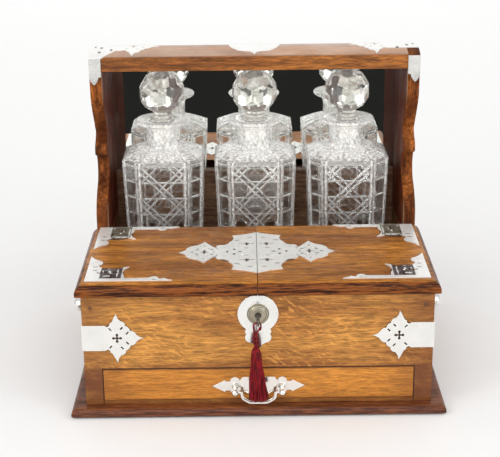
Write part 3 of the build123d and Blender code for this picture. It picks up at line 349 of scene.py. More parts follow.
def drawer_shade(s, colour):
    """Darker towards the drawer's ends, and painted shade in the gaps along its top and bottom edges."""
    x, _, z = s.parts(s.place())
    ends = s.between(s.math("ABSOLUTE", x), 0.11, 0.154, 0.0, 0.4)
    # Painted shade in the gaps above and below the drawer.
    gap = s.math("MAXIMUM", s.between(z, 0.0162, 0.0145), s.between(z, 0.0460, 0.0478))
    return s.mix(mottled(s, s.math("MAXIMUM", ends, gap), 0.8), colour, NOSING)


def lid_shade(s, colour):
    """A streaked dark nosing round a lid, and dirt with painted shade under its pierced mounts."""
    x, y, z = s.parts(s.place())
    side = s.math("ABSOLUTE", x)
    nose = s.math("MAXIMUM", s.between(y, -0.1352, -0.1364), s.between(side, 0.1722, 0.1736))
    streak = s.noise(s.mapped(s.place(), (40, 40, 700)), 1.0, 4, 0.7)
    edge = s.mix(s.between(streak, 0.4, 0.6), (0.03, 0.008, 0.004), (0.25, 0.072, 0.014))
    colour = s.mix(nose, colour, edge)
    along = s.math("ABSOLUTE", s.math("SUBTRACT", y, LIDS_MIDDLE_Y))
    middle = spot(s, side, along, (0.017, 0.0), 0.0285)
    middle = s.math("MAXIMUM", middle, spot(s, side, along, (0.054, 0.0), 0.0165))
    corner = spot(s, side, along, (0.149, 0.0575), 0.0165)
    # Dirt and painted shade on the wood seen through the mounts' piercings.
    under = s.math("MULTIPLY", s.math("MAXIMUM", middle, corner), s.between(z, 0.1385, 0.139))
    return s.mix(s.math("MULTIPLY", under, 0.9), colour, DIRT_AND_SHADE)


def upright_shade(s, colour):
    """Uprights are blotched with dark; their inner faces carry a pale painted reflection along the front and
    deep red-brown painted shade behind it.
    """
    x, y, _ = s.parts(s.place())
    blotch = s.between(s.noise(s.mapped(s.place(), (60, 30, 18)), 1.0, 3), 0.35, 0.65, 0.1, 0.7)
    colour = s.mix(blotch, colour, (0.075, 0.021, 0.009))
    facing_in = s.between(s.math("ABSOLUTE", x), INNER_FACE_X + 0.0001, INNER_FACE_X - 0.0001)
    # Painted shade: deep red-brown over the rear of each inner face.
    inner = s.math("MULTIPLY", facing_in, s.between(y, 0.035, 0.042))
    # Painted reflection: a pale strip along the front of each inner face.
    pale_reflection = s.math("MULTIPLY", facing_in, s.between(y, 0.034, 0.03))
    colour = s.mix(s.math("MULTIPLY", pale_reflection, 0.6), colour, (0.5, 0.36, 0.24))
    return s.mix(s.math("MULTIPLY", inner, 0.93), colour, (0.12, 0.022, 0.008))


def rail_shade(s, colour):
    """Dust and a painted sheen pale the canopy's domed top."""
    _, _, z = s.parts(s.place())
    # Dust with a painted sheen of reflected light on the domed top.
    top = s.between(z, 0.3262, 0.3276, 0.0, 0.55)
    return s.mix(mottled(s, top, 1.0), colour, (0.74, 0.55, 0.43))


def plinth_shade(s, colour):
    """The plinth's rounded nose is darker and redder than its top."""
    _, _, z = s.parts(s.place())
    streak = s.noise(s.mapped(s.place(), (34, 34, 700)), 1.0, 4, 0.7)
    edge = s.mix(s.between(streak, 0.4, 0.6), (0.05, 0.013, 0.007), (0.2, 0.062, 0.024))
    return s.mix(s.between(z, 0.0098, 0.0085), colour, edge)


# ---- Woods ---------------------------------------------------------------------------------
# Material, pale and dark colour, seed, settings, and the nodes that wear it.
LID_PALE, LID_DARK = (0.62, 0.245, 0.042), (0.3, 0.1, 0.019)
LID_SETTINGS = {"flecks": 0.3, "coat": 0.05, "specular": 0.12, "rough": 0.3, "shade": lid_shade}
WOODS = (
    ("oak_front", (0.62, 0.28, 0.058), (0.33, 0.117, 0.026), 1,
     {"flecks": 0.6, "contrast": 0.8, "shade": front_shade}, ("front_board",)),
    ("oak_drawer", (0.66, 0.262, 0.04), (0.4, 0.135, 0.018), 5,
     {"flecks": 0.2, "contrast": 0.6, "shade": drawer_shade}, ("drawer_front",)),
    ("oak_lid_left", LID_PALE, LID_DARK, 9, {"fleck_turn": (0, 0, 60), **LID_SETTINGS}, ("left_lid",)),
    ("oak_lid_right", LID_PALE, LID_DARK, 13, {"fleck_turn": (0, 0, -60), **LID_SETTINGS}, ("right_lid",)),
    ("oak_rail", (0.42, 0.145, 0.026), (0.2, 0.06, 0.012), 17,
     {"coat": 0.15, "shade": rail_shade}, ("canopy_rail",)),
    ("oak_canopy", (0.36, 0.14, 0.035), (0.17, 0.055, 0.015), 21, {"coat": 0.5}, ("canopy_board",)),
    ("oak_plinth", (0.28, 0.09, 0.027), (0.11, 0.03, 0.01), 25, {"shade": plinth_shade}, ("plinth",)),
    ("oak_sides", (0.4, 0.155, 0.04), (0.18, 0.06, 0.017), 29,
     {"grain": "Y", "flecks": 0.4, "fleck_turn": (50, 0, 0)}, ("left_case_side", "right_case_side")),
    ("oak_uprights", (0.42, 0.13, 0.03), (0.1, 0.028, 0.009), 33,
     {"grain": "Z", "contrast": 1.2, "specular": 0.04, "coat": 0.0, "shade": upright_shade},
     ("left_upright", "right_upright")),
    ("oak_back", (0.3, 0.13, 0.05), (0.17, 0.07, 0.028), 37,
     {"grain": "Z", "coat": 0.05, "rough": 0.5}, ("back_board",)),
    ("oak_dark", (0.42, 0.24, 0.14), (0.24, 0.12, 0.07), 41, {}, ("mirror_apron", "decanter_deck")),
    ("oak_runners", (0.34, 0.17, 0.07), (0.2, 0.09, 0.035), 45,
     {"grain": "Y", "coat": 0.0, "rough": 0.6}, ("drawer_runners",)),
    ("inner_board", (0.36, 0.17, 0.075), (0.2, 0.085, 0.035), 49,
     {"coat": 0.1, "rough": 0.5}, ("floor_board", "partition", "drawer_back", "drawer_bottom")),
    ("inner_sides", (0.38, 0.18, 0.08), (0.22, 0.09, 0.035), 53,
     {"grain": "Y", "coat": 0.1, "rough": 0.5}, ("drawer_sides",)),
    ("tray_wood", (0.3, 0.125, 0.055), (0.17, 0.06, 0.027), 57, {"coat": 0.3}, ("games_tray",)),
    ("oak_plugs", (0.2, 0.09, 0.035), (0.12, 0.05, 0.02), 61, {"grain": "Y"}, ("front_plugs",)),
)
for name, pale, dark, seed, settings, wearers in WOODS:
    dress(wood(name, pale, dark, seed, **settings), *wearers)


# ---- Metals, mirror, baize -----------------------------------------------------------------
def metal(name, colour, rough, tarnish=None, engraved=None, shade=None, metallic=1.0):
    """Worn plated metal: cloudy polish, hair scratches, soft edges, and, where asked for, engraving and
    painted shade in piercings.
    """
    s = Shader(name)
    at = s.place()
    cloud = s.noise(s.mapped(at, (60, 60, 60)), 1.0, 4, 0.6)
    hair = s.between(s.noise(s.mapped(at, (1400, 90, 1400), (0, 25, 35)), 1.0, 1), 0.62, 0.75)
    base = s.mix(s.between(cloud, 0.3, 0.75), colour, tuple(c * 0.93 for c in colour))
    if shade:
        base = shade(s, at, base)
    height = s.math("MULTIPLY", hair, -0.25)
    if tarnish:
        stain = s.between(s.noise(s.mapped(at, (150, 150, 150)), 1.0, 5, 0.7), 0.52, 0.72)
        base = s.mix(s.math("MULTIPLY", stain, 0.6), base, tarnish)
    if engraved:
        # Dark engraved lines, and painted shade in piercings.
        marks = engraved(s, at)
        base = s.mix(s.math("MULTIPLY", marks, 0.8), base, (0.1, 0.085, 0.07))
        height = s.math("SUBTRACT", height, marks)
    normal = s.bump(height, 0.00012, 0.8, s.soft_edges(0.0004))
    roughness = s.between(cloud, 0.25, 0.8, rough, rough + 0.09)
    return s.finish(Base_Color=base, Metallic=metallic, Roughness=roughness, Normal=normal)


def marks_at(s, u, v, places):
    """Rounded marks in millimetres: (u, v, half length along u, half length along v)."""
    found = 0.0
    for centre_u, centre_v, half_u, half_v in places:
        away = s.vector(
            s.math("MULTIPLY", s.math("SUBTRACT", u, centre_u * MM), 1 / (half_u * MM)),
            s.math("MULTIPLY", s.math("SUBTRACT", v, centre_v * MM), 1 / (half_v * MM)), 0.0,
        )
        found = s.math("MAXIMUM", found, s.between(s.length(away), 1.15, 0.85))
    return found


def lid_engraving_and_piercing_shade(s, at):
    """Painted shade and dark wood in the piercings of the centre and corner mounts, mirrored about the lids'
    meeting line, with fine engraved dashes.
    """
    x, y, _ = s.parts(at)
    side = s.math("ABSOLUTE", x)
    along = s.math("ABSOLUTE", s.math("SUBTRACT", y, LIDS_MIDDLE_Y))
    middle = marks_at(s, side, along, (
        (10.0, 23.0, 2.1, 3.6), (10.0, 23.0, 8.0, 0.9), (23.3, 6.5, 1.5, 2.2), (30.4, 0.0, 1.4, 2.2),
        (17.4, 0.0, 2.2, 1.4), (20.5, 33.5, 3.0, 1.0), (7.0, 42.0, 2.8, 0.9), (11.0, 10.5, 2.6, 0.8),
        (53.9, 0.0, 3.6, 1.4), (53.9, 0.0, 1.3, 6.2), (46.4, 6.6, 1.9, 1.3), (61.6, 6.0, 1.9, 1.3),
        (44.2, 0.0, 1.3, 1.3), (66.5, 0.0, 1.8, 1.1),
    ))
    corner = marks_at(s, side, along, (
        (153.5, 56.0, 4.8, 1.1), (153.5, 56.0, 1.1, 4.8), (144.5, 66.0, 4.6, 1.0), (144.5, 66.0, 1.0, 4.6),
        (162.0, 38.5, 2.8, 1.0), (161.0, 48.0, 2.6, 1.0), (139.0, 55.0, 1.2, 2.0), (101.0, 74.0, 2.4, 0.8),
    ))
    dashes = s.between(s.noise(s.mapped(at, (300, 520, 1)), 1.0, 1, 0.5), 0.66, 0.72, 0.0, 0.45)
    return s.math("MAXIMUM", s.math("MAXIMUM", middle, corner), dashes)


def canopy_piercing_shade(s, at):
    """Painted shade and dark wood in small piercings near the corners of the canopy's straps."""
    x, y, _ = s.parts(at)
    side = s.math("ABSOLUTE", x)
    return marks_at(s, side, y, (
        (160.4, 48.7, 1.7, 3.2), (161.9, 36.5, 1.7, 2.2), (149.8, 42.1, 1.6, 2.6), (167.0, 52.0, 1.2, 3.0),
    ))


def corner_tarnish(s, at, base):
    """The squares of the corner mounts are browned, with bright engraved leaves left in them."""
    x, y, _ = s.parts(at)
    side = s.math("ABSOLUTE", x)
    front = within(s, y, -0.1225, -0.0950, 0.001)
    rear = within(s, y, -0.0070, 0.0245, 0.001)
    square = s.math("MULTIPLY", s.math("MAXIMUM", front, rear), within(s, side, 0.1345, 0.1545, 0.0012))
    leaves = s.between(s.noise(s.mapped(at, (330, 420, 1)), 1.0, 1, 0.5, 1.2), 0.6, 0.66)
    bright = marks_at(s, side, s.math("ADD", y, 0.05), (
        (152.9, -54.5, 1.0, 2.4), (146.3, -55.1, 1.3, 2.8), (148.0, -66.8, 4.2, 1.5), (146.6, -47.2, 1.6, 1.2),
        (138.2, -59.0, 0.9, 10.5), (142.5, 62.0, 1.2, 3.2), (152.8, 71.0, 1.1, 2.2), (145.0, 44.6, 9.0, 1.2),
        (135.8, 58.0, 0.8, 12.0),
    ))
    kept = s.math("MAXIMUM", bright, s.math("MULTIPLY", leaves, 0.4))
    stain = s.mix(rear, (0.075, 0.052, 0.055), (0.2, 0.165, 0.11))
    return s.mix(s.math("MULTIPLY", square, s.math("SUBTRACT", 1.0, kept)), base, stain)


def boss_rings(s, at, base):
    """Turned lines round the lock's boss, and painted shade in its keyhole."""
    x, _, z = s.parts(at)
    radius = s.length(s.vector(x, s.math("SUBTRACT", z, LOCK_HEIGHT), 0.0))
    inner_line = within(s, radius, 0.0081, 0.0084, 0.0003)
    lines = s.math("MAXIMUM", inner_line, within(s, radius, 0.0099, 0.0103, 0.0003))
    # Painted shade: the keyhole's hole.
    hole = s.between(radius, 0.0036, 0.0028)
    return s.mix(s.math("MAXIMUM", s.math("MULTIPLY", lines, 0.8), hole), base, (0.03, 0.027, 0.022))


# Material, colour, roughness, settings, and the nodes that wear it.
PALE_SILVER = (0.98, 0.975, 0.95)
silver = metal("silver_front", (0.93, 0.92, 0.885), 0.1)
dress(silver, "front_straps", "escutcheon", "upright_covers", "drawer_plate", "drawer_bail")
METALS = (
    ("silver_lid", PALE_SILVER, 0.3, {"engraved": lid_engraving_and_piercing_shade, "shade": corner_tarnish, "metallic": 0.45},
     ("left_centre_mount", "right_centre_mount", "left_corner_mounts", "right_corner_mounts")),
    ("silver_canopy", PALE_SILVER, 0.25, {"engraved": canopy_piercing_shade, "metallic": 0.5},
     ("canopy_straps", "canopy_cartouche")),
    ("silver_handles", (0.9, 0.88, 0.84), 0.14, {"tarnish": (0.4, 0.34, 0.26)},
     ("handle_posts", "left_handle_bail", "right_handle_bail")),
    ("nickel_boss", (0.5, 0.46, 0.35), 0.3,
     {"tarnish": (0.36, 0.31, 0.22), "shade": boss_rings, "metallic": 0.8}, ("lock_boss",)),
    ("key_steel", (0.16, 0.145, 0.125), 0.3, {"tarnish": (0.1, 0.08, 0.06)},
     ("key", "lock_bolt", "left_lid_staple", "right_lid_staple")),
    ("plug_steel", (0.07, 0.062, 0.052), 0.4, {}, ("lock_plug",)),
    ("lock_brass", (0.62, 0.46, 0.2), 0.28, {"tarnish": (0.25, 0.16, 0.07)}, ("lock_case",)),
    ("hinge_brass", (0.68, 0.5, 0.22), 0.24, {"tarnish": (0.3, 0.19, 0.08)},
     ("hinge_case_leaves", "hinge_pins", "left_hinge_leaves", "right_hinge_leaves")),
)
for name, colour, rough, settings, wearers in METALS:
    dress(metal(name, colour, rough, **settings), *wearers)


def mirror_material():
    """Old silvered glass, faintly foxed."""
    s = Shader("mirror_glass")
    at = s.place()
    spots = s.between(s.noise(s.mapped(at, (90, 90, 90)), 1.0, 6, 0.7), 0.66, 0.74)
    colour = s.mix(s.math("MULTIPLY", spots, 0.5), (0.86, 0.88, 0.86), (0.35, 0.32, 0.27))
    roughness = s.between(s.noise(at, 40.0, 3), 0.3, 0.8, 0.0, 0.03)
    return s.finish(Base_Color=colour, Metallic=1.0, Roughness=roughness)


dress(mirror_material(), "mirror")


def baize_material():
    """Short napped wool cloth."""
    s = Shader("baize_cloth")
    at = s.place()
    nap = s.noise(at, 2600.0, 2)
    worn = s.noise(at, 35.0, 3)
    colour = s.mix(s.between(worn, 0.3, 0.7), (0.035, 0.11, 0.055), (0.055, 0.15, 0.08))
    colour = s.mix(s.math("MULTIPLY", nap, 0.4), colour, (0.1, 0.2, 0.11))
    return s.finish(Base_Color=colour, Roughness=0.95, Normal=s.bump(nap, 0.0004), Sheen_Weight=0.4)


dress(baize_material(), "base_baize")


# ---- Cord and tassel -------------------------------------------------------------------------
def silk_material():
    """Twisted crimson silk."""
    s = Shader("silk_thread")
    at = s.place()
    wave = s.node("ShaderNodeTexWave", {
        "Vector": s.mapped(at, rotation=(20, 35, 0)), "Scale": 900.0, "Distortion": 1.5, "Detail": 1.0,
    }).outputs["Fac"]
    tint = s.noise(s.mapped(at, (900, 900, 60)), 1.0, 2)
    colour = s.mix(s.between(tint, 0.38, 0.62), (0.06, 0.001, 0.002), (0.28, 0.005, 0.011))
    colour = s.mix(s.math("MULTIPLY", wave, 0.25), colour, (0.34, 0.02, 0.035))
    normal = s.bump(wave, 0.00015, 0.6)
    return s.finish(Base_Color=colour, Roughness=0.45, Normal=normal, Specular_IOR_Level=0.2)


silk = silk_material()
# The cord's loop from the key's ring, in millimetres from the ring's middle: up on the left, through the
# ring, and down across itself.
LOOP_POINTS = (
    (-2.6, 0.0, -29.4), (-3.8, 0.4, -22.5), (-4.9, 0.9, -17.0), (-3.4, 0.9, -11.0), (-5.0, 0.4, -6.0),
    (-4.0, 0.0, -1.6), (-0.7, 0.0, -0.2), (2.7, 0.0, -2.0), (2.3, -0.4, -7.0),
    (-2.6, -0.9, -10.8), (-1.6, -0.9, -17.0), (-1.4, -0.4, -22.5), (-1.8, 0.0, -29.4),
)
route = [(x * MM, BOW_Y + y * MM, LOCK_HEIGHT + z * MM) for x, y, z in LOOP_POINTS]
curve = bpy.data.curves.new("key_cord", "CURVE")
curve.dimensions = "3D"
curve.bevel_depth = 0.8 * MM
curve.bevel_resolution = 3
curve.resolution_u = 8
spline = curve.splines.new("NURBS")
spline.points.add(len(route) - 1)
for point, place in zip(spline.points, route):
    point.co = (*place, 1.0)
spline.order_u = 3
spline.use_endpoint_u = True
curve.materials.append(silk)
cord = add_object("key_cord", curve, "tassel", ("tassel_cord",))

TASSEL_TOP, TASSEL_LENGTH = 0.0810, 0.0565
# Radius of the bundle of threads in millimetres, at shares of the way from its top to its foot.
BUNDLE_SHARES = (0, 0.04, 0.12, 0.26, 0.34, 0.5, 0.8, 1.0)
BUNDLE_RADII = (1.4, 3.2, 4.6, 5.1, 5.2, 6.8, 8.4, 9.5)
THREADS, THREAD_SEED = 150, 41
GOLDEN_ANGLE = 2.39996
HELIX_STEPS = 60
KNOT_X, KNOT_Y, KNOT_TOP = 2.0 * MM, BOW_Y - 0.4 * MM, LOCK_HEIGHT - 5.6 * MM


def tassel_axis(t):
    """X of the tassel's middle from its top (0) to its foot (1): it hangs a little askew."""
    return (-2.4 + 2.4 * t * t) * MM


def tassel_reach(t):
    """Radius of the bundle of threads from its top (0) to its foot (1)."""
    return float(np.interp(t, BUNDLE_SHARES, BUNDLE_RADII)) * MM


def helix(turns, place):
    """Points of a winding; place gives one from its angle and its share of the way."""
    return [place(2 * math.pi * turns * i / HELIX_STEPS, i / HELIX_STEPS) for i in range(HELIX_STEPS + 1)]


def binding_at(angle, share):
    """The turns round the tassel's head."""
    t = 0.235 + 0.03 * share
    reach = tassel_reach(t) + 0.1 * MM
    return (
        tassel_axis(t) + reach * math.cos(angle), BOW_Y + reach * math.sin(angle),
        TASSEL_TOP - t * TASSEL_LENGTH,
    )


def knot_at(angle, share):
    """The small knot on the cord's right strand."""
    reach = 0.95 * MM
    return (
        KNOT_X + reach * math.cos(angle) - 0.7 * MM * share, KNOT_Y + reach * math.sin(angle),
        KNOT_TOP - 2.4 * MM * share,
    )


def build_tassel(work):
    """A bundle of threads, folded at the top, bound by two turns and spreading to its foot."""
    rng = random.Random(THREAD_SEED)
    core = [(tassel_reach(i / 12) * 0.8, -i / 12 * TASSEL_LENGTH * 0.96) for i in range(13)]
    lathe(work, [(0, 0)] + core + [(0, -TASSEL_LENGTH * 0.965)], 20, (0, BOW_Y, TASSEL_TOP))
    for v in work.verts:
        v.co.x += tassel_axis((TASSEL_TOP - v.co.z) / TASSEL_LENGTH)
    tube(work, helix(2, binding_at), 0.42 * MM, 6)
    tube(work, helix(3, knot_at), 0.6 * MM, 8)
    for k in range(THREADS):
        depth = 0.72 + 0.28 * math.sqrt((k + 0.5) / THREADS)
        angle = k * GOLDEN_ANGLE + rng.uniform(-0.1, 0.1)
        length = rng.uniform(0.96, 1.0)
        sway = rng.uniform(-0.3, 0.3)
        points = []
        for i in range(13):
            t = i / 12 * length
            reach = depth * tassel_reach(t) * (1 + 0.03 * math.sin(9 * t + k))
            turned = angle + sway * t
            points.append((
                tassel_axis(t) + reach * math.cos(turned), BOW_Y + reach * math.sin(turned),
                TASSEL_TOP - 0.3 * MM - t * (TASSEL_LENGTH - 0.3 * MM),
            ))
        tube(work, points, rng.uniform(0.4, 0.55) * MM, 5, lambda t: 1.0 - 0.2 * t)


tassel_mesh = mesh_from(build_tassel, "tassel_threads")
tassel_mesh.materials.append(silk)
tassel = add_object("tassel_threads", tassel_mesh, "tassel", ("tassel",))
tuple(route[0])


# ---- Cut glass -------------------------------------------------------------------------------
def glass_material(name, tint, ground, painted_glow):
    """Lead glass with faint wheel marks. Cut places are frosted to scatter light, and give off painted light
    of their own.

    ground is how far a full cut is frosted, and painted_glow how brightly a full cut shines by itself.
    """
    s = Shader(name)
    at = s.place()
    marks = s.noise(s.mapped(at, (220, 220, 220)), 1.0, 3)
    fine = s.noise(s.mapped(at, (900, 900, 2600)), 1.0, 2)
    cut = s.node("ShaderNodeAttribute", attribute_name="cut").outputs["Fac"]
    sparkle = s.between(s.noise(s.mapped(at, (330, 330, 210)), 1.0, 3, 0.7), 0.36, 0.66, 0.35, 1.3)
    cloudy = s.math("MULTIPLY", s.math("MULTIPLY", s.between(cut, 0.15, 1.0), ground), sparkle, clamp=True)
    roughness = s.math("ADD", s.between(marks, 0.45, 0.8, 0.0, 0.04), s.math("MULTIPLY", cloudy, 0.35))
    # Painted light: cuts glow by themselves, most where the cut layer and the sparkle are high.
    painted_glow_strength = s.math("MULTIPLY", s.math("MULTIPLY", cut, sparkle), painted_glow)
    return s.finish(
        Base_Color=tint, Roughness=roughness, IOR=1.54,
        Transmission_Weight=s.math("SUBTRACT", 1.0, cloudy), Normal=s.bump(fine, 0.00003, 0.4),
        Emission_Color=(1.0, 0.99, 0.95), Emission_Strength=painted_glow_strength,
    )


# Frosting and painted glow for the decanters' cuts and the stoppers' balls.
glass = glass_material("cut_glass", (1.0, 1.0, 0.99), 0.53, 0.15)
ball_glass = glass_material("ball_glass", (1.0, 0.995, 0.955), 0.05, 0.05)

# Sizes of the decanter in millimetres, from its foot.
CELL = 0.75                            # side of a square of the wall's grid
FACE_HALF, CANT_HALF = 35, 16          # cells each side of a panel's middle
ROWS = 151
PITCH = 18.0                           # between one row of the pattern and the next
ROW_PHASE = 65.25
LAST_CUT = 110.25                      # the level cut under the shoulder
BASE_HALF, TAPER = 40.45, math.tan(math.radians(2.0))
CORNER = 15.4
CUT_FULL = 1.25                        # depth at which a cut is fully frosted
# The cuts' frosting and painted glow fade below WALL_BRIGHT.
WALL_BRIGHT = 115.0                    # the cuts grow dimmer from this height down
SHOULDER_FOOT, SHOULDER_RISE, SHOULDER_STEPS = 113.25, 8.75, 9
NECK_FOOT_RADIUS, BORE_RADIUS = 20.0, 11.6
WELL_TOP, WELL_DOME, WELL_INSET = 107.0, 11.0, 5.5
# Outside of the neck, the lip, and down the bore: (radius, height).
NECK = (
    (18.9, 124.0), (18.5, 127.0), (18.5, 133.0), (18.6, 139.0), (19.2, 142.5), (21.4, 145.8), (25.0, 147.8),
    (28.2, 148.9), (29.7, 150.2), (30.0, 151.5), (29.3, 152.6), (27.8, 153.0), (20.0, 152.7), (14.4, 152.9),
    (13.3, 152.4), (12.9, 151.0), (12.3, 140.0), (11.6, 127.0), (11.6, 118.0),
)
NECK_FLATS = (124.5, 146.0)            # the neck's eight flats lie between these heights
FOOT = ((0.965, 0.0), (0.88, 0.05), (0.84, 0.9))      # (share of the wall's plan, height)


def wedge(distance, half_width, depth):
    """Depth of a V cut at a distance from its middle."""
    return depth * np.clip(1 - np.abs(distance) / half_width, 0, None)


def folded(value, pitch):
    """Distance to the nearest multiple of the pitch."""
    return np.abs((value + pitch / 2) % pitch - pitch / 2)


def rows_cut(z):
    """The level cuts that run round all sides."""
    level = wedge(folded(z - ROW_PHASE - PITCH / 2, PITCH), 1.5, 0.85) * (z < 112)
    return np.maximum(level, wedge(z - LAST_CUT, 1.5, 1.0))


def face_cut(u, z):
    """Caned pattern on a broad face: paired diagonals, with level and upright cuts between them."""
    depth = rows_cut(z)
    inside = (np.abs(u) <= 24.01) & (z < 110.3) & (z > 2.2)
    for total in (u + z - ROW_PHASE, u - z + ROW_PHASE):
        away = folded(total - PITCH, 2 * PITCH)
        depth = np.maximum(depth, wedge(away - 3.75, 2.25, 0.95) * inside)
    depth = np.maximum(depth, wedge(np.abs(u) - 9.0, 1.5, 0.7) * inside)
    return np.maximum(depth, wedge(np.abs(u) - 24.0, 2.25, 1.2))


def cant_cut(u, z):
    """Tall windows on a canted corner."""
    return np.maximum(rows_cut(z), wedge(np.abs(u) - 9.0, 3.0, 1.1))


def octagon(half, corner):
    """Corners of a canted square, anticlockwise from the front face's left end."""
    flat = half - corner
    return [
        Vector((-flat, -half)), Vector((flat, -half)), Vector((half, -flat)), Vector((half, flat)),
        Vector((flat, half)), Vector((-flat, half)), Vector((-half, flat)), Vector((-half, -flat)),
    ]


def panel_columns():
    """(side, u in mm, share along the side) for each column of the body's grid."""
    columns = []
    for side in range(8):
        half = FACE_HALF if side % 2 == 0 else CANT_HALF
        for i in range(2 * half):
            columns.append((side, (i - half) * CELL, i / (2 * half)))
    return columns


def body_outline(z, inset=0.0):
    """Corners of the body's canted square at a height."""
    grow = z * TAPER
    shrink = 2 - math.sqrt(2)
    return np.array(octagon(BASE_HALF + grow - inset, CORNER + (grow - inset) * shrink))


def build_decanter(work):
    """A square decanter: cut walls, shoulder, neck, lip, bore, well and foot, as one closed skin."""
    columns = panel_columns()
    count = len(columns)
    sides = np.array([side for side, u, share in columns])
    across = np.array([u for side, u, share in columns])
    shares = np.array([share for side, u, share in columns])[:, None]
    canted = sides % 2 == 1
    heights = np.arange(ROWS + 1) * CELL

    def depths(u, z):
        u, z = np.meshgrid(u, z)
        return np.where(canted, cant_cut(u, z), face_cut(u, z))

    corners = body_outline(0.0)
    along = np.roll(corners, -1, axis=0) - corners
    along /= np.linalg.norm(along, axis=1)[:, None]
    facing = np.stack((-along[:, 1], along[:, 0]), axis=1)
    inward = facing[sides]
    mitres = (facing + np.roll(facing, 1, axis=0)) / (2 * math.cos(math.pi / 8) ** 2)
    inward[shares[:, 0] == 0] = mitres

    def row_points(z, inset=0.0):
        corners = body_outline(z, inset)
        return corners[sides] + (np.roll(corners, -1, axis=0) - corners)[sides] * shares

    # The cut layer sets how far each place is frosted and how brightly it gives off painted glow; the shoulder
    # and neck get it too.
    cut_and_glow_layer = work.verts.layers.float.new("cut")
    wall = []
    for z, row_depths in zip(heights, depths(across, heights)):
        ring = []
        for (px, py), depth in zip(row_points(z) + inward * row_depths[:, None], row_depths):
            made = work.verts.new((px, py, z))
            made[cut_and_glow_layer] = min(1.0, depth / CUT_FULL) * min(1.0, 0.45 + 0.55 * z / WALL_BRIGHT)
            ring.append(made)
        wall.append(ring)
    near = depths(across, heights)
    far = depths(across + CELL, heights)
    middle = depths(across + CELL / 2, heights[:-1] + CELL / 2)
    rising = np.abs((near[:-1] + far[1:]) / 2 - middle)
    falling = np.abs((far[:-1] + near[1:]) / 2 - middle)
    wall_faces = []
    for row in range(ROWS):
        for i in range(count):
            j = (i + 1) % count
            a, b, c, d = wall[row][i], wall[row][j], wall[row + 1][j], wall[row + 1][i]
            # Each cell is split along the diagonal that follows the cuts better.
            halves = ((a, b, c), (a, c, d)) if rising[row, i] <= falling[row, i] else ((a, b, d), (b, c, d))
            wall_faces += [work.faces.new(half) for half in halves]

    def ring_at(points):
        return [work.verts.new(p) for p in points]

    def outline_points(z, inset):
        return [(px, py, z) for px, py in row_points(z, inset)]

    # Shoulder: from the body's plan to the round neck, with mitred flutes.
    top_ring = [Vector(p) for p in outline_points(heights[-1], 0.0)]
    angles = [math.atan2(p.y, p.x) for p in top_ring]
    last = wall[-1]
    for k in range(1, SHOULDER_STEPS + 1):
        t = k / SHOULDER_STEPS
        points = []
        for p, angle in zip(top_ring, angles):
            reach = math.hypot(p.x, p.y)
            r = reach + (NECK_FOOT_RADIUS - reach) * t
            z = SHOULDER_FOOT + SHOULDER_RISE * math.sin(math.pi / 2 * t) ** 0.9
            flute = abs(math.cos(8 * angle))
            z -= 1.5 * math.sin(math.pi * t) * max(0.0, 1 - flute * 1.8)
            points.append((r * math.cos(angle), r * math.sin(angle), z))
        ring = ring_at(points)
        ring_faces(work, last, ring, smooth=True)
        for made in ring:
            made[cut_and_glow_layer] = 0.95
        last = ring
    flats_low, flats_high = NECK_FLATS
    for radius, z in NECK:
        points = []
        for angle in angles:
            flat = 1.0
            if flats_low < z < flats_high and radius > 15:
                swell = math.sin(math.pi * (z - flats_low) / (flats_high - flats_low))
                flat = 1 - 0.045 * abs(math.sin(4 * angle)) * swell
            points.append((radius * flat * math.cos(angle), radius * flat * math.sin(angle), z))
        ring = ring_at(points)
        for made in ring:
            made[cut_and_glow_layer] = 0.85 if radius > 15 else 0.0
        ring_faces(work, last, ring)
        last = ring
    # The well inside.
    for k in range(1, 8):
        t = k / 7
        corners = [Vector(p) for p in outline_points(WELL_TOP, WELL_INSET)]
        points = []
        for p, angle in zip(corners, angles):
            reach = math.hypot(p.x, p.y)
            r = BORE_RADIUS + (reach - BORE_RADIUS) * math.sin(math.pi / 2 * t)
            z = WELL_TOP + WELL_DOME * math.cos(math.pi / 2 * t)
            points.append((r * math.cos(angle), r * math.sin(angle), z))
        ring = ring_at(points)
        ring_faces(work, last, ring)
        last = ring
    for z, inset in ((60.0, WELL_INSET), (11.0, WELL_INSET), (8.6, 7.0), (8.0, 10.0)):
        ring = ring_at(outline_points(z, inset))
        ring_faces(work, last, ring, smooth=False)
        last = ring
    work.faces.new(last)
    # Foot: a ground rim and a star cut under it.
    last = wall[0]
    for scale, z in FOOT:
        ring = ring_at([(v.co.x * scale, v.co.y * scale, z) for v in wall[0]])
        ring_faces(work, last, ring, smooth=False)
        last = ring
    centre = work.verts.new((0, 0, 2.2))
    for i in range(count):
        work.faces.new((last[i], last[(i + 1) % count], centre))
    # Flat stretches of the wall's grid are merged.
    bmesh.ops.dissolve_limit(
        work, angle_limit=math.radians(1.2), verts=[v for ring in wall[1:-1] for v in ring],
        edges=list({e for f in wall_faces for e in f.edges}), use_dissolve_boundaries=False, delimit=set(),
    )
    bmesh.ops.scale(work, vec=(MM, MM, MM), verts=work.verts)


def polyhedron(work, normals, distances):
    """The solid bounded by planes, from their normals and distances from the origin."""
    found = []
    for i, a in enumerate(normals):
        for j in range(i + 1, len(normals)):
            for k in range(j + 1, len(normals)):
                planes = Matrix((a, normals[j], normals[k]))
                if abs(planes.determinant()) < 1e-4:
                    continue
                p = planes.inverted() @ Vector((distances[i], distances[j], distances[k]))
                if all(n.dot(p) <= d + 1e-5 for n, d in zip(normals, distances)):
                    if all((p - q).length > 1e-3 for q in found):
                        found.append(p)
    hull_verts = [work.verts.new(p) for p in found]
    bmesh.ops.convex_hull(work, input=hull_verts)
    bmesh.ops.dissolve_limit(work, angle_limit=math.radians(1), verts=work.verts, edges=work.edges)


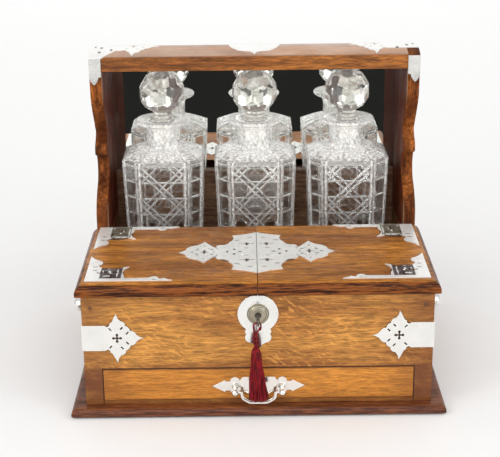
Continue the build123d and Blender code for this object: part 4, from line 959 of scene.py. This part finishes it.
# The stopper in millimetres. The ball's rows of facets: (latitude in degrees, count, offset in facets,
# distance from the ball's middle).
BALL_ROWS = (
    (62, 6, 0.0, 23.6), (32, 12, 0.5, 23.8), (0, 12, 0.0, 23.4), (-32, 12, 0.5, 23.8), (-58, 12, 0.0, 23.0),
)
BALL_MIDDLE, BALL_TOP, BALL_FOOT = 182.5, 23.4, 20.6
PLUG = (
    (10.6, 161.6), (10.0, 160.0), (10.0, 156.5), (11.2, 154.6), (12.8, 153.2), (12.75, 151.5), (11.5, 128.2),
    (10.9, 127.0),
)
PLUG_FINENESS = 4                      # sides of the round plug to each of the ball's; the join needs 4


def build_stopper(work):
    """A ball cut in five rows of facets, on a round neck and a ground plug."""
    normals, distances = [Vector((0, 0, 1))], [BALL_TOP]
    for latitude, number, offset, reach in BALL_ROWS:
        for k in range(number):
            a = 2 * math.pi * (k + offset + 0.25) / number
            e = math.radians(latitude)
            normals.append(Vector((math.cos(a) * math.cos(e), math.sin(a) * math.cos(e), math.sin(e))))
            distances.append(reach)
    normals.append(Vector((0, 0, -1)))
    distances.append(BALL_FOOT)
    polyhedron(work, normals, distances)
    for v in work.verts:
        v.co.z += BALL_MIDDLE
    floor_face = min(work.faces, key=lambda f: f.calc_center_median().z)
    start = sorted(floor_face.verts, key=lambda v: math.atan2(v.co.y, v.co.x))
    work.faces.remove(floor_face)
    sides = len(start)
    fine = sides * PLUG_FINENESS
    base_angles = [math.atan2(v.co.y, v.co.x) for v in start]
    rings = []
    for radius, z in PLUG:
        ring = []
        for k in range(fine):
            i, part = divmod(k, PLUG_FINENESS)
            a0 = base_angles[i]
            a1 = base_angles[(i + 1) % sides]
            if a1 < a0:
                a1 += 2 * math.pi
            a = a0 + (a1 - a0) * part / PLUG_FINENESS
            ring.append(work.verts.new((radius * math.cos(a), radius * math.sin(a), z)))
        rings.append(ring)
    for i in range(sides):
        a, b = start[i], start[(i + 1) % sides]
        first = [rings[0][(PLUG_FINENESS * i + k) % fine] for k in range(PLUG_FINENESS + 1)]
        work.faces.new((a, first[0], first[1], first[2]))
        work.faces.new((a, first[2], b))
        work.faces.new((b, first[2], first[3], first[4]))
    for low, high in zip(rings, rings[1:]):
        ring_faces(work, low, high)
    work.faces.new(rings[-1])
    # The ball takes full frosting and painted glow, the plug little.
    cut_and_glow_layer = work.verts.layers.float.new("cut")
    for made in work.verts:
        made[cut_and_glow_layer] = 1.0 if made.co.z > 155 else 0.2
    bmesh.ops.scale(work, vec=(MM, MM, MM), verts=work.verts)


decanter_mesh = mesh_from(build_decanter, "decanter_cut")
decanter_mesh.materials.append(glass)
stopper_mesh = mesh_from(build_stopper, "stopper_cut")
stopper_mesh.materials.append(ball_glass)
for name, x, spin in (("left", -DECANTER_STEP, 8.0), ("middle", 0.0, 0.0), ("right", DECANTER_STEP, 21.0)):
    ball_mesh = stopper_mesh.copy()
    ball_mesh.transform(Matrix.Rotation(math.radians(spin), 4, "Z"))
    for node, mesh in ((f"{name}_decanter", decanter_mesh), (f"{name}_stopper", ball_mesh)):
        add_object(f"{node}_glass", mesh, node, (node,), (x, DECANTER_Y, DECK_TOP))


# ---- Pins that hold the mounts -----------------------------------------------------------------
PIN_RADIUS, PIN_RISE, PIN_ROOT = 1.2 * MM, 0.6 * MM, 0.3 * MM
PIN_PROFILE = (
    (0, -PIN_ROOT), (PIN_RADIUS, -PIN_ROOT), (PIN_RADIUS, 0.0), (0.9 * PIN_RADIUS, 0.5 * PIN_RISE),
    (0.55 * PIN_RADIUS, 0.88 * PIN_RISE), (0, PIN_RISE),
)
PIN_PLACES = ((0.1450, -0.1085), (0.1450, 0.0060), (0.0155, -0.0615), (0.0540, -0.0400), (0.0540, -0.0665))


def build_pins(side):
    """Low domed heads on one lid's mounts."""
    def build(work):
        for x, y in PIN_PLACES:
            lathe(work, PIN_PROFILE, 16, (side * x, y, MOUNT_TOP))
    return build


for side, side_name in ((-1, "left"), (1, "right")):
    pins = mesh_from(build_pins(side), f"{side_name}_mount_pins")
    pins.materials.append(silver)
    add_object(f"{side_name}_mount_pins", pins, f"{side_name}_lid")


# ---- Floor, world and lights -----------------------------------------------------------------
def floor_material():
    """Pale paper. A strip of it well in front of the part turns into a dark sheet for reflected rays only:
    a painted dark reflection standing for the unlit end of a studio."""
    s = Shader("pale_floor")
    at = s.place()
    _, y, _ = s.parts(at)
    grain = s.noise(at, 30.0, 2)
    pale = s.mix(grain, (0.9, 0.9, 0.9), (0.92, 0.92, 0.92))
    surface = s.node(
        "ShaderNodeBsdfPrincipled", {"Base Color": pale, "Roughness": 0.9, "Specular IOR Level": 0.1}
    )
    dark = s.node("ShaderNodeEmission", {"Color": (0.02, 0.02, 0.018, 1), "Strength": 1.0})
    glossy = s.node("ShaderNodeLightPath").outputs["Is Glossy Ray"]
    strip = s.math("MULTIPLY", s.between(y, -0.5, -0.58), s.between(y, -1.22, -1.14))
    # Painted dark reflection: reflected rays meet a dark sheet over the strip.
    unlit = s.math("MULTIPLY", glossy, strip)
    both = s.node("ShaderNodeMixShader", {0: unlit, 1: surface.outputs[0], 2: dark.outputs[0]})
    s.node("ShaderNodeOutputMaterial", {"Surface": both.outputs[0]})
    return s.material


def build_floor(work):
    """A broad level sheet."""
    bmesh.ops.create_grid(work, x_segments=8, y_segments=8, size=6.0)


floor_mesh = mesh_from(build_floor, "floor")
floor_mesh.materials.append(floor_material())
floor = add_object("floor", floor_mesh)

world = bpy.data.worlds.new("studio")
scene.world = world
world.use_nodes = True
sky = world.node_tree
sky.nodes.clear()
background = sky.nodes.new("ShaderNodeBackground")
background.inputs["Color"].default_value = (1.0, 0.995, 0.985, 1)
background.inputs["Strength"].default_value = 0.7
world_out = sky.nodes.new("ShaderNodeOutputWorld")
sky.links.new(background.outputs[0], world_out.inputs[0])


AIM = Vector((0, 0, 0.12))             # the lights point here, near the middle of the object


def light(name, kind, place, energy, **settings):
    """A light pointed at the aim."""
    data = bpy.data.lights.new(name, kind)
    data.energy = energy
    for key, value in settings.items():
        setattr(data, key, value)
    made = bpy.data.objects.new(name, data)
    made.location = place
    made.rotation_euler = (AIM - Vector(place)).to_track_quat("-Z", "Y").to_euler()
    scene.collection.objects.link(made)


SOFT_SUN = math.radians(70)
light("sky_left", "SUN", (-1.2, -1.6, 1.5), 0.97, angle=SOFT_SUN)
light("sky_right", "SUN", (1.5, -1.5, 1.3), 0.8, angle=SOFT_SUN)
light("softbox_left", "AREA", (-1.0, -1.1, 0.9), 2.4, size=0.3)
light("softbox_right", "AREA", (1.2, -0.9, 0.8), 2.0, size=0.3)
light("backdrop", "AREA", (0.0, 2.6, 1.3), 4.5, size=2.2)

scene.view_settings.view_transform = "Standard"
scene.cycles.max_bounces = 24
scene.cycles.transmission_bounces = 20
scene.cycles.glossy_bounces = 10
scene.cycles.diffuse_bounces = 4
